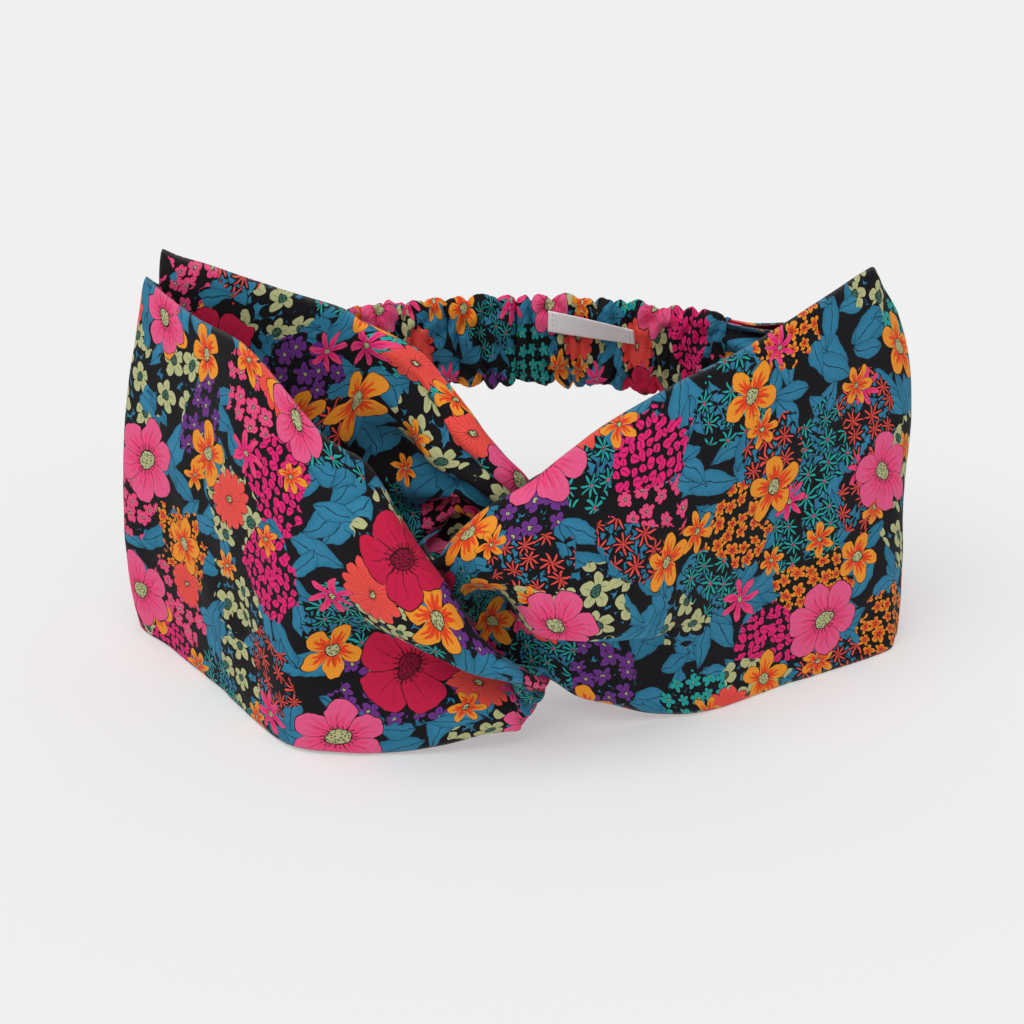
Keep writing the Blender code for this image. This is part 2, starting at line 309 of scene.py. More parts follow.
# %% Leaves: two arcs, a midrib and side veins
def make_leaf_group():
    tree, given, result = new_group(
        "printed leaf",
        [
            ("Cloth", VECTOR, (0, 0, 0)), ("Spacing", NUMBER, 14.0), ("Seed", NUMBER, 1.0),
            ("Length", NUMBER, 18.0), ("Width", NUMBER, 6.0), ("Coverage", NUMBER, 1.0),
            ("Deep", COLOUR, TEAL), ("Light", COLOUR, TEAL_LIGHT),
        ],
        [("Colour", COLOUR), ("Mask", NUMBER)],
    )
    spot = use_group(tree, scatter, Cloth=given["Cloth"], Spacing=given["Spacing"], Jitter=0.5,
                     Seed=given["Seed"])
    parts = put(tree, "ShaderNodeSeparateXYZ", {0: spot["Local"]})
    along = calc(tree, "DIVIDE", parts.outputs[0], calc(tree, "MULTIPLY", given["Length"], 0.5))
    square = calc(tree, "MULTIPLY", along, along)
    bend = calc(tree, "MULTIPLY", calc(tree, "SUBTRACT", spot["Tint"], 0.5), 3.0)
    across = calc(tree, "ABSOLUTE", calc(tree, "MULTIPLY_ADD", square, bend, parts.outputs[1]))
    belly = calc(tree, "MULTIPLY_ADD", along, -0.35, 1.05)
    half_width = times(tree, given["Width"], 0.5, calc(tree, "SUBTRACT", 1.0, square), belly)
    inside = calc(tree, "SUBTRACT", half_width, across)

    tint = calc(tree, "MULTIPLY", spot["Tint"], 0.5)
    shade = calc(tree, "MULTIPLY_ADD", above(tree, inside, 0.0, 2.0), 0.5, tint)
    leaf = mix_colours(tree, shade, given["Deep"], given["Light"])
    midrib = calc(tree, "SUBTRACT", 1.0, above(tree, across, 0.09, 0.1))
    slant = calc(tree, "MULTIPLY_ADD", across, 1.1, parts.outputs[0])
    vein_place = calc(tree, "FRACT", calc(tree, "DIVIDE", slant, 3.4))
    side_vein = calc(tree, "ABSOLUTE", calc(tree, "SUBTRACT", vein_place, 0.5))
    side_vein = calc(tree, "MULTIPLY", calc(tree, "SUBTRACT", 1.0, above(tree, side_vein, 0.02, 0.03)), 0.18)
    edge = calc(tree, "SUBTRACT", 1.0, above(tree, inside, 0.16, 0.1))
    lines = calc(tree, "MAXIMUM", calc(tree, "MAXIMUM", midrib, side_vein), edge)
    leaf = mix_colours(tree, calc(tree, "MULTIPLY", lines, 0.85), leaf, INK)

    shown = calc(tree, "LESS_THAN", spot["Chance"], given["Coverage"])
    tree.links.new(leaf, result["Colour"])
    tree.links.new(times(tree, above(tree, inside, 0.0, 0.1), shown), result["Mask"])
    return tree


leaf_print = make_leaf_group()
print("leaf group has", len(leaf_print.nodes), "nodes")

# %% [markdown]
# ## Composing the print
# A good floral has a rhythm: leaves run underneath, small florets gather in clumps, and larger blooms
# lie on top with room round them. Clumps come from one coarse scatter whose random number picks the
# kind of floret, so two kinds never fight for the same spot.

# %% The whole print as one group
# Each clump row: kind range in the coarse scatter, then spacing, reach, petals, fullness, waist, eye,
# outline width and the three dyes (inner petal, outer petal, middle).
CLUMPS = [
    ((0.00, 0.21), (10.0, 5.0, 5, 0.50, 0.34, 1.6, 0.24), (KHAKI, KHAKI, MOSS)),
    ((0.21, 0.31), (4.4, 2.5, 5, 0.60, 0.35, 0.5, 0.18), (FLAME, ORANGE, CORAL)),
    ((0.31, 0.46), (5.0, 2.7, 5, 0.55, 0.25, 0.45, 0.16), (TURQUOISE, TURQUOISE, KHAKI)),
    ((0.46, 0.59), (5.4, 2.9, 5, 0.40, 0.45, 0.6, 0.20), (ROSE, PINK, KHAKI)),
    ((0.59, 0.68), (6.4, 3.4, 8, 3.50, 0.10, 0.5, 0.05), (CORAL, CORAL, CORAL)),
    ((0.68, 0.80), (6.6, 3.6, 8, 3.50, 0.10, 0.5, 0.05), (TURQUOISE, TURQUOISE, PINK)),
    ((0.80, 0.92), (2.7, 1.5, 2, 0.25, 0.72, 0.0, 0.17), (MAGENTA, MAGENTA, KHAKI)),
    ((0.92, 1.00), (6.2, 3.3, 5, 0.45, 0.30, 0.7, 0.18), (PURPLE, PURPLE, KHAKI)),
]
# Each bloom row: spacing, reach, petals, fullness, waist, eye, outline width, coverage, how much of the
# petals' line drawing shows, and three dyes.
BLOOMS = [
    ((36.0, 8.8, 13, 0.45, 0.68, 1.1, 0.26, 0.36, 0.9), (CORAL, CORAL, KHAKI)),
    ((23.0, 6.8, 7, 1.30, 0.12, 1.0, 0.20, 0.24, 0.0), (MAGENTA, PINK, KHAKI)),
    ((29.0, 9.4, 5, 0.50, 0.20, 2.2, 0.26, 0.36, 0.15), (FLAME, ORANGE, KHAKI)),
    ((20.0, 5.8, 6, 0.75, 0.14, 0.9, 0.20, 0.20, 0.0), (FLAME, ORANGE, KHAKI)),
    ((46.0, 13.4, 5, 0.30, 0.58, 3.2, 0.34, 0.34, 0.9), (CRIMSON, CRIMSON, WINE)),
    ((42.0, 12.0, 6, 0.36, 0.54, 2.8, 0.30, 0.34, 0.8), (PINK, ROSE, KHAKI)),
]
LEAVES = [(23.0, 20.0, 8.4), (20.0, 17.5, 7.4), (18.0, 16.0, 6.2), (15.0, 13.5, 5.2)]


def make_print_group():
    tree, given, result = new_group(
        "floral print", [("Cloth", VECTOR, (0, 0, 0)), ("Seed", NUMBER, 0.0)], [("Colour", COLOUR)]
    )
    wobble = put(tree, "ShaderNodeTexNoise", {"Vector": given["Cloth"], "Scale": 0.16, "Detail": 2.0},
                 noise_dimensions="2D")
    centred = put(tree, "ShaderNodeVectorMath", {0: wobble.outputs["Color"], 1: (-0.5, -0.5, -0.5)},
                  operation="ADD")
    pushed = put(tree, "ShaderNodeVectorMath", {0: centred.outputs[0], 1: (2.6, 2.6, 0.0), 2: given["Cloth"]},
                 operation="MULTIPLY_ADD")
    cloth = pushed.outputs[0]

    colour = INK
    for number, (spacing, length, width) in enumerate(LEAVES):
        leaf = use_group(tree, leaf_print, Cloth=cloth, Spacing=spacing, Length=length, Width=width,
                         Seed=calc(tree, "ADD", given["Seed"], 3.3 + number))
        colour = mix_colours(tree, leaf["Mask"], colour, leaf["Colour"])

    clump = use_group(tree, scatter, Cloth=cloth, Spacing=25.0, Jitter=1.0, Seed=given["Seed"])
    ragged = calc(tree, "MULTIPLY_ADD", wobble.outputs["Fac"], 12.0, 6.5)
    in_clump = above(tree, calc(tree, "SUBTRACT", ragged, clump["Radius"]), 0.0, 0.3)
    for number, (kinds, shape, dyes) in enumerate(CLUMPS):
        floret_seed = calc(tree, "ADD", given["Seed"], 11.7 + number)
        floret = use_group(tree, flower_print, Cloth=cloth, Seed=floret_seed, Spacing=shape[0],
                           Reach=shape[1], Petals=shape[2], Fullness=shape[3], Waist=shape[4],
                           Eye=shape[5], Line=shape[6], Inner=dyes[0], Outer=dyes[1], Middle=dyes[2],
                           Jitter=0.42)
        chosen = times(tree, calc(tree, "GREATER_THAN", clump["Chance"], kinds[0]),
                       calc(tree, "LESS_THAN", clump["Chance"], kinds[1]), in_clump)
        colour = mix_colours(tree, calc(tree, "MULTIPLY", chosen, floret["Halo"]), colour, INK)
        colour = mix_colours(tree, calc(tree, "MULTIPLY", chosen, floret["Mask"]), colour, floret["Colour"])

    for number, (shape, dyes) in enumerate(BLOOMS):
        bloom = use_group(tree, flower_print, Cloth=cloth, Seed=calc(tree, "ADD", given["Seed"], 31.9 + number),
                          Spacing=shape[0], Reach=shape[1], Petals=shape[2], Fullness=shape[3], Waist=shape[4],
                          Eye=shape[5], Line=shape[6], Coverage=shape[7], Detail=shape[8], Inner=dyes[0],
                          Outer=dyes[1], Middle=dyes[2], Jitter=0.6)
        colour = mix_colours(tree, bloom["Mask"], colour, bloom["Colour"])
    tree.links.new(colour, result["Colour"])
    return tree


floral_print = make_print_group()
print("print group has", len(floral_print.nodes), "nodes")

# %% [markdown]
# ## Cotton lawn
# Lawn is a fine plain weave with a matt face. The weave is too fine to count from a distance but it
# breaks up the highlight, and the print fades a little where the cloth is pressed over an edge.

# %% Weave group and the printed cotton material
def make_weave_group():
    tree, given, result = new_group(
        "plain weave",
        [("Cloth", VECTOR, (0, 0, 0)), ("Threads per mm", NUMBER, 3.0)],
        [("Height", NUMBER), ("Slub", NUMBER)],
    )
    scaled = put(tree, "ShaderNodeVectorMath", {0: given["Cloth"], "Scale": given["Threads per mm"]},
                 operation="SCALE")
    parts = put(tree, "ShaderNodeSeparateXYZ", {0: scaled.outputs[0]})
    warp = calc(tree, "SINE", calc(tree, "MULTIPLY", parts.outputs[0], math.pi))
    weft = calc(tree, "SINE", calc(tree, "MULTIPLY", parts.outputs[1], math.pi))
    slub = put(tree, "ShaderNodeTexNoise", {"Vector": given["Cloth"], "Scale": 1.1, "Detail": 3.0},
               noise_dimensions="2D")
    crossing = calc(tree, "MULTIPLY", warp, weft)
    tree.links.new(calc(tree, "MULTIPLY_ADD", crossing, 0.5, 0.5), result["Height"])
    tree.links.new(slub.outputs["Fac"], result["Slub"])
    return tree


plain_weave = make_weave_group()


def new_material(name):
    material = bpy.data.materials.new(name)
    material.use_nodes = True
    tree = material.node_tree
    return material, tree, tree.nodes["Principled BSDF"]


def cloth_millimetres(tree):
    """Where a point lies on its piece of cloth, in millimetres, from the UV map in metres."""
    place = put(tree, "ShaderNodeUVMap", uv_map="cloth")
    scaled = put(tree, "ShaderNodeVectorMath", {0: place.outputs[0], "Scale": 1000.0}, operation="SCALE")
    return scaled.outputs[0]


def make_printed_cotton(name, seed):
    material, tree, shader = new_material(name)
    cloth = cloth_millimetres(tree)
    pattern = use_group(tree, floral_print, Cloth=cloth, Seed=seed)
    weave = use_group(tree, plain_weave, Cloth=cloth)
    edge = put(tree, "ShaderNodeAttribute", attribute_name="pressed_edge")
    fading = calc(tree, "MULTIPLY", edge.outputs["Fac"], 0.08)
    worn = mix_colours(tree, fading, pattern["Colour"], (0.8, 0.8, 0.8, 1.0))
    mottle = calc(tree, "MULTIPLY_ADD", weave["Slub"], 0.24, 0.88)
    thread = calc(tree, "MULTIPLY_ADD", weave["Height"], 0.10, 0.93)
    tone = put(tree, "ShaderNodeHueSaturation",
               {"Color": worn, "Value": calc(tree, "MULTIPLY", mottle, thread)})
    tree.links.new(tone.outputs[0], shader.inputs["Base Color"])
    tree.links.new(calc(tree, "MULTIPLY_ADD", weave["Slub"], 0.16, 0.72), shader.inputs["Roughness"])
    bump = put(tree, "ShaderNodeBump", {"Strength": 0.25, "Distance": 0.00008, "Height": weave["Height"]})
    tree.links.new(bump.outputs[0], shader.inputs["Normal"])
    shader.inputs["Sheen Weight"].default_value = 0.02
    shader.inputs["Sheen Roughness"].default_value = 0.5
    shader.inputs["Specular IOR Level"].default_value = 0.15
    return material


cotton_left = make_printed_cotton("printed_cotton_left", 0.0)
cotton_right = make_printed_cotton("printed_cotton_right", 23.0)
cotton_casing = make_printed_cotton("printed_cotton_casing", 9.0)
print("cotton materials ready")

# %% [markdown]
# ## Laying out a strip
# A folded strip has no simple formula, but it can be described the way a pattern cutter would pin it:
# by cross sections. Each section is a short list of points in millimetres from the upper edge of the
# strip to its lower edge. A smooth curve through each section, and then smooth curves from section to
# section, give the whole cloth. Where the cloth is nearly flat a section needs only three points, and
# where it rolls into a ridge it needs seven to nine.

# %% Smooth curves through listed points
ROWS_ACROSS = 96
COLUMN_LENGTH = 1.3 * MM


def tangents(points, knots):
    """Slopes of a smooth curve through unevenly spaced points."""
    step = np.diff(knots)[:, None]
    slope = np.diff(points, axis=0) / step.reshape((-1,) + (1,) * (points.ndim - 1))
    before, after = slope[:-1], slope[1:]
    weight = step.reshape((-1,) + (1,) * (points.ndim - 1))
    middle = (before * weight[1:] + after * weight[:-1]) / (weight[1:] + weight[:-1])
    return np.concatenate([slope[:1], middle, slope[-1:]])


def follow(points, knots, where):
    """Positions on the smooth curve at the given knot values."""
    slopes = tangents(points, knots)
    i = np.clip(np.searchsorted(knots, where, side="right") - 1, 0, len(knots) - 2)
    shape = (-1,) + (1,) * (points.ndim - 1)
    h = (knots[i + 1] - knots[i]).reshape(shape)
    t = ((where - knots[i]) / (knots[i + 1] - knots[i])).reshape(shape)
    return (
        points[i] * (2 * t ** 3 - 3 * t ** 2 + 1)
        + slopes[i] * h * (t ** 3 - 2 * t ** 2 + t)
        + points[i + 1] * (3 * t ** 2 - 2 * t ** 3)
        + slopes[i + 1] * h * (t ** 3 - t ** 2)
    )


def chord_knots(points):
    steps = np.linalg.norm(np.diff(points, axis=0), axis=-1)
    return np.concatenate([[0.0], np.cumsum(np.sqrt(np.maximum(steps, 1e-6)))])


def even_section(section):
    """One section as evenly spaced points across the strip, and its length."""
    points = np.array(section, float) * MM
    knots = chord_knots(points)
    fine = follow(points, knots, np.linspace(0.0, knots[-1], 400))
    run = np.concatenate([[0.0], np.cumsum(np.linalg.norm(np.diff(fine, axis=0), axis=1))])
    wanted = np.linspace(0.0, run[-1], ROWS_ACROSS + 1)
    even = np.stack([np.interp(wanted, run, fine[:, axis]) for axis in range(3)], axis=1)
    return even, run[-1]


def lay_cloth(sections):
    """A grid of points, columns along the strip and rows across it, with lengths for the print."""
    rows, widths = zip(*(even_section(section) for section in sections))
    rows = np.array(rows)
    gaps = np.linalg.norm(np.diff(rows, axis=0), axis=2).mean(axis=1)
    knots = np.concatenate([[0.0], np.cumsum(np.sqrt(gaps))])
    columns = int(gaps.sum() / COLUMN_LENGTH)
    distances = np.concatenate([[0.0], np.cumsum(gaps)])
    where = np.interp(np.linspace(0.0, gaps.sum(), columns + 1), distances, knots)
    grid = follow(rows, knots, where)
    width = np.interp(where, knots, np.array(widths))
    return grid, width


def report_strip(name, grid, width):
    narrow, wide = round(width.min() * 1000), round(width.max() * 1000)
    print(name, grid.shape, "width from", narrow, "to", wide, "mm")


print("cloth helpers ready")

# %% [markdown]
# ## The left strip
# Its outer ply fills the left front. Near the knot the upper edge rolls into a rope-like ridge, with a
# soft valley below it, and the strip then turns under the right strip's lifted hem. The inner ply
# comes back up behind, rolls over at its top edge, and runs round the side to the same seam.

# %% Cross sections of the left strip, upper edge first, in millimetres
LEFT_SECTIONS = [
    # from the left join seam round the side
    [(-59.7, 48.2, 81.5), (-59.7, 49.4, 69), (-59.7, 48.2, 56.5)],
    [(-67, 45.5, 82), (-67, 47.5, 69), (-67, 45.5, 55)],
    [(-78, 42, 86), (-79, 43, 66), (-78, 42, 45)],
    [(-91, 34, 95), (-93, 35, 60), (-92, 33, 24)],
    [(-99, 25, 102), (-104, 24, 75), (-106, 23, 45), (-103, 23, 8)],
    [(-101, 16, 108), (-105, 14, 87), (-110, 11, 61), (-111.5, 10, 37), (-111, 12, 17), (-108.5, 14, 0)],
    # the outer ply, towards the knot
    [(-93, 3, 107), (-96, 0, 84), (-99, -2, 61), (-100, -2, 36), (-100, 0, 16), (-98, 0, 0)],
    [(-84, -9, 106), (-87, -12, 84), (-90, -13, 60), (-90, -14, 36), (-90, -13, 14), (-88, -13, 0)],
    [(-69, -29, 106), (-72, -34, 85), (-73, -37, 63), (-74, -37, 40), (-74, -36, 17), (-73, -36, 0)],
    [(-48, -49, 90), (-51, -54, 75), (-54, -57, 59), (-57, -57, 42), (-59, -56, 23), (-60, -54, 1)],
    [(-38, -51, 84), (-39, -58, 79), (-42, -63, 67), (-44, -62, 54), (-46, -57, 44), (-47, -54, 36),
     (-47, -58, 18), (-47, -57, 1)],
    [(-30, -53, 70), (-29, -61, 68), (-30, -67, 59), (-33, -67, 48), (-35, -60, 41), (-36, -53, 36),
     (-34, -58, 17), (-33, -57, 1)],
    [(-22, -50, 50), (-21, -55, 54), (-19, -63, 54), (-20, -69, 48), (-22, -69, 40), (-24, -61, 35),
     (-25, -52, 31), (-22, -58, 16), (-20, -57, 3)],
    [(-14, -51, 33), (-12, -56, 37), (-10, -63, 40), (-10, -68, 38.5), (-12, -68, 33), (-14, -60, 30),
     (-14, -51, 27), (-10, -58, 15), (-8, -56, 6)],
    [(-4, -52, 26), (-3, -57, 29), (-1, -63, 31), (0, -66, 30.5), (-1, -65, 28), (-3, -58, 25),
     (-3, -51, 21), (-1, -56, 13), (0, -54, 6)],
    [(3, -53, 24.5), (4, -57, 25.5), (4, -58, 23.5), (2.5, -57, 20), (1, -54, 16), (1, -54, 11), (0, -53, 6)],
    [(5, -50, 22.5), (6, -52, 22), (6, -52, 19.5), (5, -52, 17), (4, -52, 13.5), (2, -52, 10), (0, -51, 6)],
    # the turn under the right strip
    [(7, -47, 22), (7, -48, 20), (7, -48, 17), (6, -48, 14), (5, -48, 12), (3, -48, 9), (1, -48, 6)],
    [(8, -42, 22), (8, -42, 20), (7, -42, 17), (6, -42, 14), (5, -42, 12), (4, -42, 9), (3, -42, 7)],
    # the inner ply, back round the side
    [(10, -38, 42), (9, -39, 37), (8, -38, 32), (6, -37, 27), (4, -36, 22)],
    [(6, -40, 60), (4, -43, 57), (1, -40, 52), (-1, -36, 46), (-2, -34, 40)],
    [(2, -42, 75), (-1, -47, 73), (-6, -43, 66), (-8, -37, 59), (-9, -33, 51)],
    [(-4, -40, 83), (-8, -47, 80), (-13, -42, 72), (-15, -36, 64), (-18, -31, 54)],
    [(-9, -38, 88), (-12, -45, 85), (-17, -40, 75), (-20, -34, 64), (-24, -30, 42)],
    [(-15, -35, 94), (-17, -43, 89), (-22, -38, 78), (-25, -32, 65), (-29, -29, 35)],
    [(-26, -29, 105), (-25, -36, 101), (-29, -32, 89), (-32, -28, 74), (-34, -27, 36)],
    [(-38, -25, 111), (-36, -29, 107), (-38, -27, 98), (-38, -26, 79), (-39, -25, 36)],
    [(-44, -19, 113), (-46, -22, 77), (-47, -23, 24)],
    [(-63, -7, 114), (-65, -10, 77), (-67, -12, 12)],
    [(-81, 4, 116), (-83, 2, 77), (-85, 0, 6)],
    [(-91, 11, 116), (-94, 9, 80), (-96, 7, 3)],
    [(-96, 16, 116), (-99, 15, 82), (-102, 15, 45), (-101, 13, 3)],
    [(-92, 24, 108), (-97, 24, 75), (-98, 22, 40), (-96, 21, 8)],
    [(-84, 32, 94), (-87, 32, 62), (-86, 31, 28)],
    [(-75.8, 40.4, 85), (-76, 39.5, 66), (-75.8, 40.4, 46)],
    [(-66.3, 44.2, 82), (-66, 43.0, 69), (-66.3, 44.2, 55)],
    [(-58.8, 46.9, 81.5), (-58.3, 46.2, 69), (-58.8, 46.9, 56.5)],
]
left_grid, left_width = lay_cloth(LEFT_SECTIONS)
report_strip("left strip", left_grid, left_width)

# %% [markdown]
# ## The right strip
# Its outer ply fills the right front. A long fold droops over its lower part near the knot, and its
# left end curls down behind the left strip's ridge, turns, and comes back as the inner ply.

# %% Cross sections of the right strip, upper edge first, in millimetres
RIGHT_SECTIONS = [
    # from the right join seam round the side
    [(59.7, 48.2, 81.5), (59.7, 49.4, 69), (59.7, 48.2, 56.5)],
    [(67, 45.5, 81), (67, 47.5, 69), (67, 45.5, 55)],
    [(78, 43, 82), (79, 44, 64), (78, 43, 44)],
    [(91, 36, 84), (93, 37, 56), (92, 36, 24)],
    [(101, 29, 88), (104, 29, 62), (105, 28, 38), (103, 27, 6)],
    [(105, 19, 95), (108, 17, 83), (109.4, 15, 69), (109, 14, 48), (109.4, 13, 22), (109, 12, 0)],
    # the outer ply, towards the knot
    [(99.5, 14, 107), (103.5, 9, 88), (106, 7, 69), (106, 6, 46), (107, 6, 22), (108, 5, 0)],
    [(97, 11.5, 112.5), (99.5, 5, 92), (101.5, 3, 69), (101.5, 2, 45), (104, 1, 22), (106.5, 0, 0)],
    [(93.5, 9, 112), (95, 1, 91), (97, -2, 68), (97, -3, 44), (98.5, -4, 21), (100, -5, 0)],
    [(85, 1, 110), (86, -7, 90), (87, -10, 68), (88, -11, 44), (89, -11, 19), (89, -12, 0)],
    [(72, -10, 106), (73, -17, 86), (73, -20, 64), (73, -21, 40), (73, -21, 15), (73, -21, 0)],
    [(59, -20, 102), (59, -28, 85), (59, -31, 63), (59, -32, 43), (59, -31, 21), (60, -30, 0)],
    [(45, -28, 98), (46, -36, 83), (46, -41, 66), (46, -44, 48), (46, -44, 36), (46, -40, 29), (46, -38, 15),
     (47, -37, 1)],
    [(32, -36, 94), (33, -44, 82), (34, -50, 67), (35, -54, 51), (36, -55, 40), (36, -52, 34), (37, -45, 34),
     (36, -42, 20), (36, -40, 3)],
    [(21, -43, 90), (22, -50, 79), (23, -57, 64), (24, -61, 51), (25, -62, 43), (25, -59, 37), (25, -50, 38),
     (26, -46, 24), (26, -44, 8)],
    [(11, -50, 85), (12, -56, 76), (12, -62, 64), (12, -65, 52), (13, -65, 44), (13, -61, 38), (14, -52, 39),
     (15, -48, 26), (16, -46, 12)],
    [(3, -54, 80), (2, -60, 74), (3, -65, 63), (4, -66, 52), (4, -64, 45), (4, -60, 40), (5, -52, 39),
     (6, -48, 28), (8, -47, 18)],
    [(-7, -55, 74), (-8, -62, 69), (-7, -64, 60), (-6, -57, 51), (-4, -47, 44), (-3, -46, 35), (-1, -47, 17)],
    [(-15, -54, 66), (-16, -59, 63), (-14, -59, 56), (-13, -51, 47),
     (-10, -45, 41), (-8, -44, 33), (-5, -46, 19)],
    [(-21, -50, 56), (-20, -52, 52), (-18, -51, 47), (-15, -48, 42),
     (-12, -45, 37), (-10, -44, 31), (-8, -45, 20)],
    # the turn behind the left strip's ridge
    [(-24, -44, 57), (-23, -44, 51), (-20, -43, 45), (-17, -42, 41),
     (-15, -41, 36), (-13, -40, 30), (-11, -40, 22)],
    [(-23, -37, 56), (-22, -36, 50), (-20, -35, 43), (-18, -34, 39),
     (-17, -34, 35), (-15, -34, 30), (-13, -34, 23)],
    [(-14, -28.5, 56), (-14, -29, 46), (-13, -29, 38), (-12, -29, 31), (-10, -30, 26)],
    # the inner ply, back round the side
    [(-4, -26, 60), (-4, -26, 47), (-3, -27, 34), (-1, -28, 23)],
    [(9, -26, 72), (9, -27, 50), (9, -27, 30), (10, -28, 14)],
    [(22, -27, 80), (22, -28, 54), (22, -28, 28), (23, -28, 5)],
    [(36, -25, 88), (36, -26, 50), (36, -25, 1)],
    [(52, -18, 94), (52, -20, 52), (52, -20, 0)],
    [(68, -9, 99), (68, -11, 54), (68, -11, 0)],
    [(83, 3, 106), (84, -1, 56), (84, -2, 0)],
    [(94, 13, 109.5), (96, 9, 84), (97, 7, 50), (98, 6, 2)],
    [(92, 21, 104), (96, 19, 74), (98, 18, 42), (97, 17, 6)],
    [(85, 30, 90), (88, 30, 60), (87, 29, 26)],
    [(75.8, 40.6, 81.5), (76, 39.5, 64), (75.8, 40.6, 44)],
    [(66.3, 44.2, 81), (66, 43.0, 69), (66.3, 44.2, 55)],
    [(58.8, 46.9, 81.5), (58.3, 46.2, 69), (58.8, 46.9, 56.5)],
]
right_grid, right_width = lay_cloth(RIGHT_SECTIONS)
report_strip("right strip", right_grid, right_width)

# %% [markdown]
# ## From a grid to pressed cloth
# A turned and pressed tube is two layers that meet in a soft fold along both edges. Each layer is the
# grid moved half a thickness along its normal, and that thickness runs out at the edges. Where the
# strip is narrower than its cut, at the join seams and in the knot, the spare cloth stands up in
# folds, and the rest only ripples. The folds are few and wide: tighter ones cut through themselves
# more, and even these do in places.

# %% Gathers and ripples
STRIP_THICKNESS = 1.1 * MM
EDGE_SQUARENESS = 24
GATHER_COUNT = 4
GATHER_MOST = 1.7
GATHER_END = 58.0 * MM
GATHER_FADE = 24.0 * MM
GATHER_AT_SEAM = 0.15
GATHER_RISE = 12.0 * MM
KNOT_GATHER_MOST = 1.6
KNOT_REACH_BEFORE = 12.0 * MM
KNOT_REACH_AFTER = 60.0 * MM
FOLD_DRIFT = 0.9
DRIFT_SCALE = 40.0 * MM
RIPPLE = 0.55 * MM
RIPPLE_SCALE = 22.0 * MM
FINE_RIPPLE_SCALE = 9.0 * MM
CREASE_FULL_WIDTH = 110.0
FLOOR_CLEARANCE = 0.2 * MM


def centre_run(grid):
    """Distance along the middle of the strip, from its first end."""
    middle = grid[:, ROWS_ACROSS // 2]
    return np.concatenate([[0.0], np.cumsum(np.linalg.norm(np.diff(middle, axis=0), axis=1))])


def unit(vectors):
    return vectors / np.maximum(np.linalg.norm(vectors, axis=-1, keepdims=True), 1e-12)


def grid_normals(grid):
    return unit(np.cross(np.gradient(grid, axis=0), np.gradient(grid, axis=1)))


def noise_field(points, scale, seed):
    flat = points.reshape(-1, 3) / scale
    values = [noise.noise(Vector((x + seed, y, z))) for x, y, z in flat]
    return np.array(values).reshape(points.shape[:-1])


def crease_depth(run, across, crease):
    """Depth of one soft crease: a straight dent between two places on the cloth, fading at its ends."""
    (run_a, across_a), (run_b, across_b), depth, spread = crease
    start = np.array([run_a, across_a])
    line = np.array([run_b, across_b]) - start
    from_start = np.stack([run - start[0], across - start[1]], axis=-1)
    share = np.clip(from_start @ line / (line @ line), 0.0, 1.0)
    distance = np.linalg.norm(from_start - share[..., None] * line, axis=-1)
    fade = np.sin(math.pi * np.clip(share, 0.02, 0.98)) ** 0.5
    return depth * MM * np.exp(-(distance / spread) ** 2) * fade


def fold_depth(width, most, share):
    """How deep even folds must be for cloth as wide as its widest place to fit in a narrower one."""
    squeeze = 1.0 + (np.minimum(width.max() / width, most) - 1.0) * share
    return width / (4.0 * GATHER_COUNT) * np.sqrt(np.maximum(squeeze ** 2 - 1.0, 0.0))


def gather_and_ripple(grid, width, seed, creases):
    """Push the cloth in and out along its normals: gathers at seams and knot, creases, ripples."""
    run = centre_run(grid)
    from_seam = np.minimum(run, run[-1] - run)
    side = np.where(run < run[-1] / 2.0, 1.0, -1.0)
    across = np.linspace(0.0, 1.0, ROWS_ACROSS + 1)
    drift = noise_field(grid, DRIFT_SCALE, seed)
    wave = np.sin(2.0 * math.pi * (GATHER_COUNT * across[None, :] + FOLD_DRIFT * drift))
    fading = np.clip((GATHER_END - from_seam) / GATHER_FADE, 0.0, 1.0)
    rising = np.clip(GATHER_AT_SEAM + from_seam / GATHER_RISE, 0.0, 1.0)
    at_seam = fading * rising
    quarter = len(run) // 4
    past_knot = run - run[quarter + int(np.argmin(width[quarter:-quarter]))]
    reach = np.where(past_knot < 0.0, KNOT_REACH_BEFORE, KNOT_REACH_AFTER)
    in_knot = np.exp(-(past_knot / reach) ** 2)
    depth = fold_depth(width, GATHER_MOST, at_seam) * side + fold_depth(width, KNOT_GATHER_MOST, in_knot)
    broad = noise_field(grid, RIPPLE_SCALE, seed + 7.0)
    fine = noise_field(grid, FINE_RIPPLE_SCALE, seed + 19.0)
    ripple = RIPPLE * (broad + 0.5 * fine)
    along_mm = np.broadcast_to(run[:, None] / MM, ripple.shape)
    across_mm = np.broadcast_to(across[None, :] * CREASE_FULL_WIDTH, ripple.shape)
    dents = sum(crease_depth(along_mm, across_mm, crease) for crease in creases)
    shaped = grid + grid_normals(grid) * (depth[:, None] * wave + ripple + dents)[..., None]
    shaped[..., 2] = np.maximum(shaped[..., 2], FLOOR_CLEARANCE)
    return shaped


# %% Cloth mesh: two layers, folded edges, a UV map in metres
LEAST_PRINT_WIDTH = 0.085
BACK_PRINT_SHIFT = (0.04, 0.17)
WORN_EDGE = 0.5 * MM


def closed_mesh(name, points, faces):
    mesh = bpy.data.meshes.new(name)
    mesh.from_pydata(points.tolist(), [], faces)
    mesh.update()
    triangles = [(points[f[0]], points[f[i]], points[f[i + 1]]) for f in faces for i in (1, len(f) - 2)]
    corner = np.array(triangles)
    volume = np.einsum("ij,ij->i", corner[:, 0], np.cross(corner[:, 1], corner[:, 2])).sum()
    if volume < 0:
        mesh.flip_normals()
    mesh.polygons.foreach_set("use_smooth", [True] * len(mesh.polygons))
    return mesh


